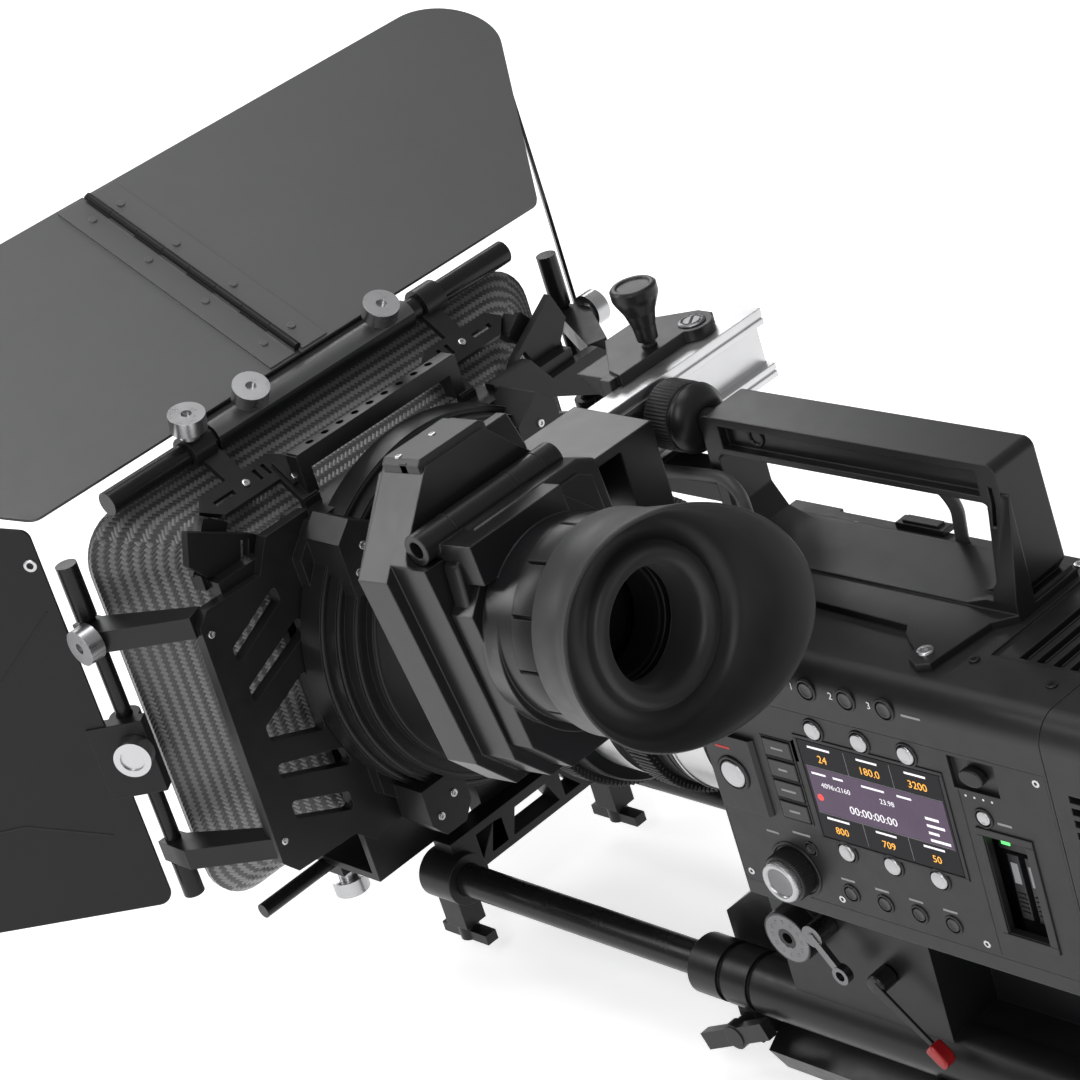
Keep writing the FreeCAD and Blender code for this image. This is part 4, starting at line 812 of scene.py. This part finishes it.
# ---- Right side and rear ---------------------------------------------------------------------------
def far_side():
    boxes("right_cover", [(-72.8, -71.8, 14, 158, 76, 137)], "panel_black", "base", 0.5, 2)
    heads = [((-72.7, y, z), -X_AXIS, 1.8, 0.7) for y in (19, 86, 153) for z in (81, 132)]
    heads += [((x, 261.1, z), Y_AXIS, 2.4, 0.9) for x in (-38, 38) for z in (90, 168)]
    screws("cover_screws", heads, "bright_steel", "base")
    rows = [(7.4, -0.3), (7.4, 3.6), (6.8, 4.4), (5.6, 4.4), (5.2, 1.4), (2.6, 1.2), (2.4, 2.6), (0.05, 2.7)]
    spots = [(-72, y, 88) for y in (188, 207, 226)] + [(-72.7, y, 104) for y in (40, 62)]
    turned("connectors", spots, -X_AXIS, rows, "dark_steel", "base", 40, angle=40)
    bm = bmesh.new()
    block(bm, -8, 8, 257.8, 260.4, 104, 113)
    spun(bm, (58, 249.8, 150), Y_AXIS, [(6.0, 0.0), (6.0, 2.6), (5.2, 3.4), (2.0, 3.0), (0.05, 2.9)], 40)
    piece("battery_latch", bm, "gear_black", "base", 0.4, 2)
    contacts = [(-6.6 + 3.6 * n, -4.2 + 3.6 * n, 260.3, 260.8, 106, 111) for n in range(4)]
    boxes("battery_contacts", contacts, "bright_steel", "base", 0.2, 1)


far_side()


# ---- Handle knob and rail --------------------------------------------------------------------------
def knobs():
    rows = [(5.3, 0.0), (12.6, 0.0), (13.6, 0.6), (14.0, 1.4), (14.0, 11.4), (13.3, 12.2), (12.4, 12.6),
            (12.3, 14.4), (13.4, 15.0), (14.0, 15.8), (13.6, 17.4), (11.8, 19.4), (9.6, 21.2), (5.3, 21.6)]
    knob = turned("handle_knob_turned", [(6, -46, 240)], Y_AXIS, rows, "handle_black", "handle_knob", 240,
                  toothed(60, 0.045, (3, 4)), closed=False, angle=38)
    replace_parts(knob, "handle_knob")
    # captive screw at the end of the rail clamp
    rows = [(5.8, 0.0), (5.8, 0.6), (5.2, 1.0), (4.4, 1.0), (4.1, 0.4), (3.7, 0.4), (3.5, 1.0), (0.05, 1.0)]
    turned("clamp_screw", [(-31, -61, 258.9)], Z_AXIS, rows, "dark_steel", "base")
    # The slot is a black strip laid on the head: painted shade where a cut slot would be.
    slot = [(-34.2, -62.4), (-33.4, -63.2), (-27.8, -59.6), (-28.6, -58.8)]
    plate("clamp_screw_slot_shade", [(x, y, 259.8) for x, y in slot], (0, 0, 0.25), "rubber_black", "base")
    # the arm of the rail is black; the rail itself is bare
    second_finish("vf_rail", "vf_plastic", lambda p: p.x > 37.8)


knobs()


# ---- Lens ------------------------------------------------------------------------------------------
def lens():
    for node, radius, y0, y1 in (("focus_ring", 58.0, -178.0, -150.0), ("zoom_ring", 62.0, -134.0, -104.0),
                                 ("iris_ring", 54.0, -86.0, -52.0)):
        length = y1 - y0
        middle = length / 2
        low = radius - 4.0
        rear = [(46.5, 0.4), (low - 0.8, 0.4), (low, 1.2), (low, 3.0), (low - 0.7, 3.3), (low - 0.7, 4.0),
                (low, 4.3), (low, middle - 6.2), (radius - 0.4, middle - 6.0), (radius, middle - 5.6)]
        rows = rear + [(r, length - h) for r, h in reversed(rear)]
        teeth = int(2 * math.pi * radius / 2.5)
        ring = turned(node + "_geared", [(0, y0, LENS_Z)], Y_AXIS, rows, "gear_black", node, teeth * 4,
                      toothed(teeth, 2.0 / radius, (8, 9, 10, 11)), closed=False, angle=38)
        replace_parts(ring, node)
    spots = [(0, y, LENS_Z) for y in (-176.4, -149.0, -135.4, -103.0, -87.4, -51.0)]
    rows = [(49.0, 0.0), (50.4, 0.0), (50.8, 0.4), (50.4, 0.8), (49.0, 0.8)]
    turned("barrel_rings", spots, Y_AXIS, rows, "silver_barrel", "base", 96, closed=False)
    rows = [(38.0, -0.2), (38.0, 1.4), (30.0, 4.0), (18.0, 5.6), (0.05, 6.2)]
    turned("front_glass", [(0, -201.4, LENS_Z)], -Y_AXIS, rows, "glass_dark", "base", 72, angle=60)


lens()


# ---- Levers and rosettes of the base ---------------------------------------------------------------
def base_fittings():
    bm = bmesh.new()
    for side in (-1, 1):
        rows = [(2.7, 0.0), (11.6, 0.0), (11.6, 0.4), (10.9, 0.9), (4.6, 0.9), (4.2, 0.3), (2.7, 0.3)]
        spun(bm, (side * 65.3, 6, 45), X_AXIS * side, rows, 288, toothed(72, 0.03, (1, 2, 3)), closed=False)
        for n in range(12):
            a = 2 * math.pi * n / 12
            spun(bm, (side * 66.1, 6 + 7.9 * math.cos(a), 45 + 7.9 * math.sin(a)), X_AXIS * side,
                 [(0.55, -0.3), (0.95, -0.3), (0.95, 0.25), (0.55, 0.25)], 16, closed=False)
    piece("rosette_teeth", bm, "dark_steel", "base")
    # lock lever of the sliding plate: hub, thin steel blade, deep red grip
    bm = bmesh.new()
    rows = [(3.2, 0), (4.4, 0.4), (4.4, 8.0), (3.8, 8.8), (1.8, 9.0), (0.05, 9.0)]
    spun(bm, (58.4, 50, 36), X_AXIS, rows, 48)
    blade = [(51.2, 38.4), (48.4, 34.2), (74.4, 13.6), (75.8, 15.4)]
    slab(bm, [(66.6, y, z) for y, z in blade], (1.3, 0, 0))
    hub = piece("red_lever_arm", bm, "black_aluminium", "red_lever", 0.2, 2)
    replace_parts(hub, "red_lever")
    grip = [(72.0, 14.6), (76.0, 18.8), (81.4, 14.2), (82.6, 11.0), (80.4, 7.9), (77.6, 9.6)]
    plate("red_lever_grip", [(64.9, y, z) for y, z in grip], (6.4, 0, 0), "red_lever", "red_lever", 1.3, 4)


base_fittings()


# ---- Viewfinder ------------------------------------------------------------------------------------
def housing():
    x = EYE_X
    cover = [(x - 16, y, z) for y, z in ((-47, 287), (-29, 287), (-27, 290.6), (-44, 291), (-47, 289))]
    plate("vf_cover_plate", cover, (31, 0, 0), "handle_black", "viewfinder", 0.5, 3, tipped)
    roof = [(x - 30, y, z) for y, z in ((-32, 262), (-25.8, 268), (-25.8, 273.4), (-30, 286), (-36, 286))]
    plate("vf_roof", roof, (47, 0, 0), "vf_plastic", "viewfinder", 0.8, 3, tipped)
    # tab with its two screws, and two more on the slope behind it
    boxes("vf_tab", [(x - 6, x + 17, -38, -33.6, 285, 289.8)], "handle_black", "viewfinder", 0.4, 2, tipped)
    heads = [((sx, -40.5, 290.8), Z_AXIS, 1.5, 0.7) for sx in (x - 3, x + 14)]
    slanted = Vector((0, 0.86, 0.5))
    heads += [((sx, -27.4, sz), slanted, 1.6, 0.9) for sx, sz in ((x - 2, 276.0), (x + 12, 273.4))]
    screws("vf_screws", heads, "bright_steel", "viewfinder", tipped)


def eyepiece():
    """Broad back plate with a raised field, hinge collars and the focus ring."""
    x = EYE_X
    outline = [(76, 262), (84, 266), (136, 266), (150, 258), (152, 240), (140, 214), (92, 214), (76, 230)]
    plate("eyepiece_back_plate", [(px, -13.5, pz) for px, pz in outline], (0, 8.5, 0), "vf_plastic",
          "eyepiece", 1.4, 4, tipped)
    field = [(81, 258), (87, 261.5), (132, 261.5), (145, 254), (147, 241), (136, 219), (96, 219), (81, 232)]
    plate("eyepiece_back_field", [(px, -5.4, pz) for px, pz in field], (0, 1.6, 0), "vf_plastic", "eyepiece",
          0.7, 3, tipped)
    bm = bmesh.new()
    for x0, x1 in ((x - 33.5, x - 25), (x - 12, x - 11.2), (x + 20, x + 20.8)):
        spun(bm, (x0, -19, 266), X_AXIS, [(5.6, 0), (6.25, 0.2), (6.25, x1 - x0 - 0.2), (5.6, x1 - x0)], 40,
             place=tipped, closed=False)
    piece("vf_hinge_collars", bm, "gear_black", "eyepiece")
    rows = [(33.2, 16.4), (37.6, 16.4), (38.4, 17.0), (38.5, 18.2), (38.5, 28.4), (38.0, 29.4), (33.2, 29.6)]
    ring = turned("diopter_ring_turned", [(x, 0, EYE_Z)], Y_AXIS, rows, "gear_black", "diopter_ring", 288,
                  toothed(12, 0.05, (3, 4), 0.93), tipped, closed=False, angle=40)
    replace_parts(ring, "diopter_ring")


def eyecup():
    """Rubber base, thick inner ring and a skirt that is longer on the outer side."""
    bm = bmesh.new()
    steps = 96
    # radius, depth and the share of the skirt's slant that each row takes
    base = [(24.2, 30.2, 0.0), (40.4, 30.2, 0.0), (41.0, 31.0, 0.0), (41.0, 42.0, 0.0)]
    skirt = [(41.6, 46.0, 0.10), (42.8, 50.0, 0.45), (44.2, 52.6, 0.88), (44.4, 53.6, 1.0), (43.8, 54.2, 1.0),
             (42.6, 53.2, 0.95), (41.0, 50.0, 0.55), (39.6, 46.8, 0.12)]
    inner = [(36.0, 45.4, 0.0), (31.0, 45.8, 0.0), (29.8, 47.6, 0.0), (29.6, 50.2, 0.0), (28.6, 51.6, 0.0),
             (26.6, 52.0, 0.0), (24.0, 51.6, 0.0), (22.4, 50.4, 0.0), (21.6, 48.6, 0.0), (21.4, 44.0, 0.0),
             (21.4, 34.0, 0.0)]
    rows = []
    for radius, y, share in base + skirt + inner:
        row = []
        for i in range(steps):
            a = 2 * math.pi * i / steps
            reach = y - 1.5 * share + share * 33.0 * max(0.0, (1 - math.cos(a)) / 2) ** 1.6
            point = Vector((EYE_X, reach, EYE_Z)) + (X_AXIS * math.cos(a) + Z_AXIS * math.sin(a)) * radius
            row.append(bm.verts.new(at(tipped(point))))
        rows.append(row)
    for first, after in zip(rows, rows[1:] + rows[:1]):
        stitch(bm, first, after)
    cup = piece("eyecup_rubber_body", bm, "eyecup_rubber", "eyecup", angle=60)
    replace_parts(cup, "eyecup")


def eyepiece_bore():
    """Glass at the bottom of the bore, and the bore's black lining."""
    rows = [(21.6, 0.0), (21.6, 1.0), (15.0, 3.4), (8.0, 4.6), (0.05, 5.0)]
    turned("eyepiece_lens", [(EYE_X, 12.0, EYE_Z)], Y_AXIS, rows, "glass_dark", "eyepiece", 64, place=tipped,
           angle=60)
    rows = [(19.4, 0.0), (21.7, 0.0), (21.7, 12.0), (20.6, 12.0)]
    turned("eyepiece_bore", [(EYE_X, 16.0, EYE_Z)], Y_AXIS, rows, "rubber_black", "eyepiece", 64,
           place=tipped, closed=False, angle=60)


housing()
eyepiece()
eyecup()
eyepiece_bore()


# ---- Matte box -------------------------------------------------------------------------------------
# screws that look backwards on each side of the stage: (x, y, z, radius, height)
STAGE_SCREWS = [
    (98.3, -254.4, 199.8, 1.8, 1.2), (102.6, -254.4, 192.4, 1.8, 1.2), (54.5, -206.2, 180.0, 1.9, 1.0),
    (60.5, -206.2, 170.0, 1.9, 1.0), (50.0, -209.2, 50.0, 1.9, 1.0), (60.0, -209.2, 44.0, 1.9, 1.0),
    (71.0, -228.1, 150.0, 1.7, 0.9), (71.0, -228.1, 88.0, 1.7, 0.9), (122.0, -234.1, 170.0, 1.7, 0.9),
    (124.0, -234.1, 66.0, 1.7, 0.9),
]


def on_slope(x, t, n):
    """A point on the brackets' slope, t down it and n above it, and the direction away from it."""
    down = Vector((0, math.cos(SLOPE), -math.sin(SLOPE)))
    out = Vector((0, math.sin(SLOPE), math.cos(SLOPE)))
    return Vector((x, -276, 219)) + down * t + out * n, out


def stage_fittings():
    heads = []
    for side in (-1, 1):
        heads += [on_slope(side * x, t, n) + (1.9, 1.3)
                  for x, t, n in ((65.8, 20.5, 1.2), (46.9, 24.2, 1.2), (47.2, 31.2, 3.2))]
        heads += [((side * x, y, z), Y_AXIS, radius, height) for x, y, z, radius, height in STAGE_SCREWS]
    screws("stage_screws", heads, "bright_steel", "matte_box")
    bm = bmesh.new()
    for radius, y in ((85.2, -220.2), (82.0, -213.2), (77.0, -207.2), (70.0, -203.2)):
        rows = [(radius - 1.6, -0.2), (radius, -0.2), (radius, 0.3), (radius - 0.5, 0.7), (radius - 1.6, 0.7)]
        spun(bm, (0, y, LENS_Z), Y_AXIS, rows, 128, closed=False)
    piece("stage_ring_lips", bm, "black_aluminium", "matte_box", angle=50)


def left_flag_details():
    """Eyelet and pressed line on the left side flag."""
    outwards = Vector((math.sin(SIDE_FLARE), -math.cos(SIDE_FLARE), 0))
    off_face = Vector((math.cos(SIDE_FLARE), math.sin(SIDE_FLARE), 0))
    start = Vector((146.5, -285, 0)) + off_face * 7.9
    rows = [(1.3, 0.0), (2.9, 0.0), (2.9, 0.5), (2.4, 0.8), (1.6, 0.8), (1.3, 0.3)]
    spot = start + outwards * 11.5 + Z_AXIS * 215.4
    turned("left_flag_eyelet", [spot], off_face, rows, "knob_grey", "left_flag", 36, closed=False)
    bm = bmesh.new()
    for s0, z0, s1, z1 in ((12, 193, 44, 164), (44, 164, 138, 156), (22, 80, 60, 92), (60, 92, 138, 88)):
        first = start + outwards * s0 + Z_AXIS * z0
        last = start + outwards * s1 + Z_AXIS * z1
        side = off_face.cross(last - first).normalized() * 0.5
        slab(bm, [first - side, last - side, last + side, first + side], off_face * 0.35)
    piece("left_flag_press", bm, "flag_black", "left_flag", 0.12, 1)


def flag_undersides():
    """Painted light: the top flag is grey above, as light falling from above, and black below and on its
    raised rims.
    """
    origin = Vector((0, -285.3, 232.2))
    normal = Vector((0, math.sin(FLAG_RISE), math.cos(FLAG_RISE)))
    second_finish("top_flag_left", "flag_black", lambda p: (p - origin).dot(normal) < -1.1)
    for name in ("top_flag_left", "top_flag_right"):
        second_finish(name, "flag_black", lambda p: (p - origin).dot(normal) > 2.8)


stage_fittings()
left_flag_details()
flag_undersides()


# ---- Stage, light and camera -----------------------------------------------------------------------
def studio():
    ground = bpy.data.meshes.new("floor")
    bm = bmesh.new()
    bmesh.ops.create_grid(bm, x_segments=1, y_segments=1, size=30.0)
    bm.to_mesh(ground)
    bm.free()
    tree, bsdf = shader("floor_white")
    bsdf.inputs["Base Color"].default_value = (0.9, 0.9, 0.9, 1.0)
    bsdf.inputs["Roughness"].default_value = 0.9
    bsdf.inputs["Emission Color"].default_value = (1.0, 1.0, 1.0, 1.0)
    bsdf.inputs["Emission Strength"].default_value = 0.55
    ground.materials.append(MATERIALS["floor_white"])
    placed("floor", ground)

    world = bpy.data.worlds.new("studio")
    world.use_nodes = True
    background = world.node_tree.nodes["Background"]
    background.inputs["Color"].default_value = (1.0, 1.0, 1.0, 1.0)
    background.inputs["Strength"].default_value = 0.36
    bpy.context.scene.world = world

    lights = [
        ("key_top", (-0.15, -0.35, 2.2), (0.0, -0.10, 0.20), 1.1, 1.5, 17.0),
        ("rear_left", (1.9, 0.9, 1.9), (0.0, 0.0, 0.20), 0.5, 1.5, 17.0),
        ("front_rim", (-0.9, -1.9, 1.3), (0.0, -0.15, 0.20), 1.2, 0.6, 9.0),
        ("side_strip", (0.95, -1.65, 1.35), (0.05, 0.05, 0.20), 0.35, 1.3, 12.0),
        ("low_left", (1.9, 0.4, 0.5), (0.0, 0.0, 0.15), 1.2, 0.25, 5.0),
    ]
    for name, place, target, size_x, size_y, power in lights:
        data = bpy.data.lights.new(name, "AREA")
        data.shape = "RECTANGLE"
        data.size = size_x
        data.size_y = size_y
        data.energy = power
        lamp = placed(name, data)
        lamp.location = place
        aim = Vector(target) - Vector(place)
        lamp.rotation_euler = aim.to_track_quat("-Z", "Y").to_euler()


def camera():
    data = bpy.data.cameras.new("camera")
    data.sensor_width = 36.0
    data.lens = 110.36
    data.clip_end = 100.0
    data.dof.use_dof = False
    obj = placed("camera", data)
    right = Vector((-0.6887, 0.6709, -0.2749)).normalized()
    back = Vector((0.5347, 0.7260, 0.4325)).normalized()
    up = back.cross(right).normalized()
    right = up.cross(back).normalized()
    turn = Matrix((right, up, back)).transposed().to_4x4()
    obj.matrix_world = Matrix.Translation((0.7476, 0.79631, 0.8093)) @ turn
    bpy.context.scene.camera = obj


studio()
camera()
bpy.context.scene.view_settings.view_transform = "Standard"
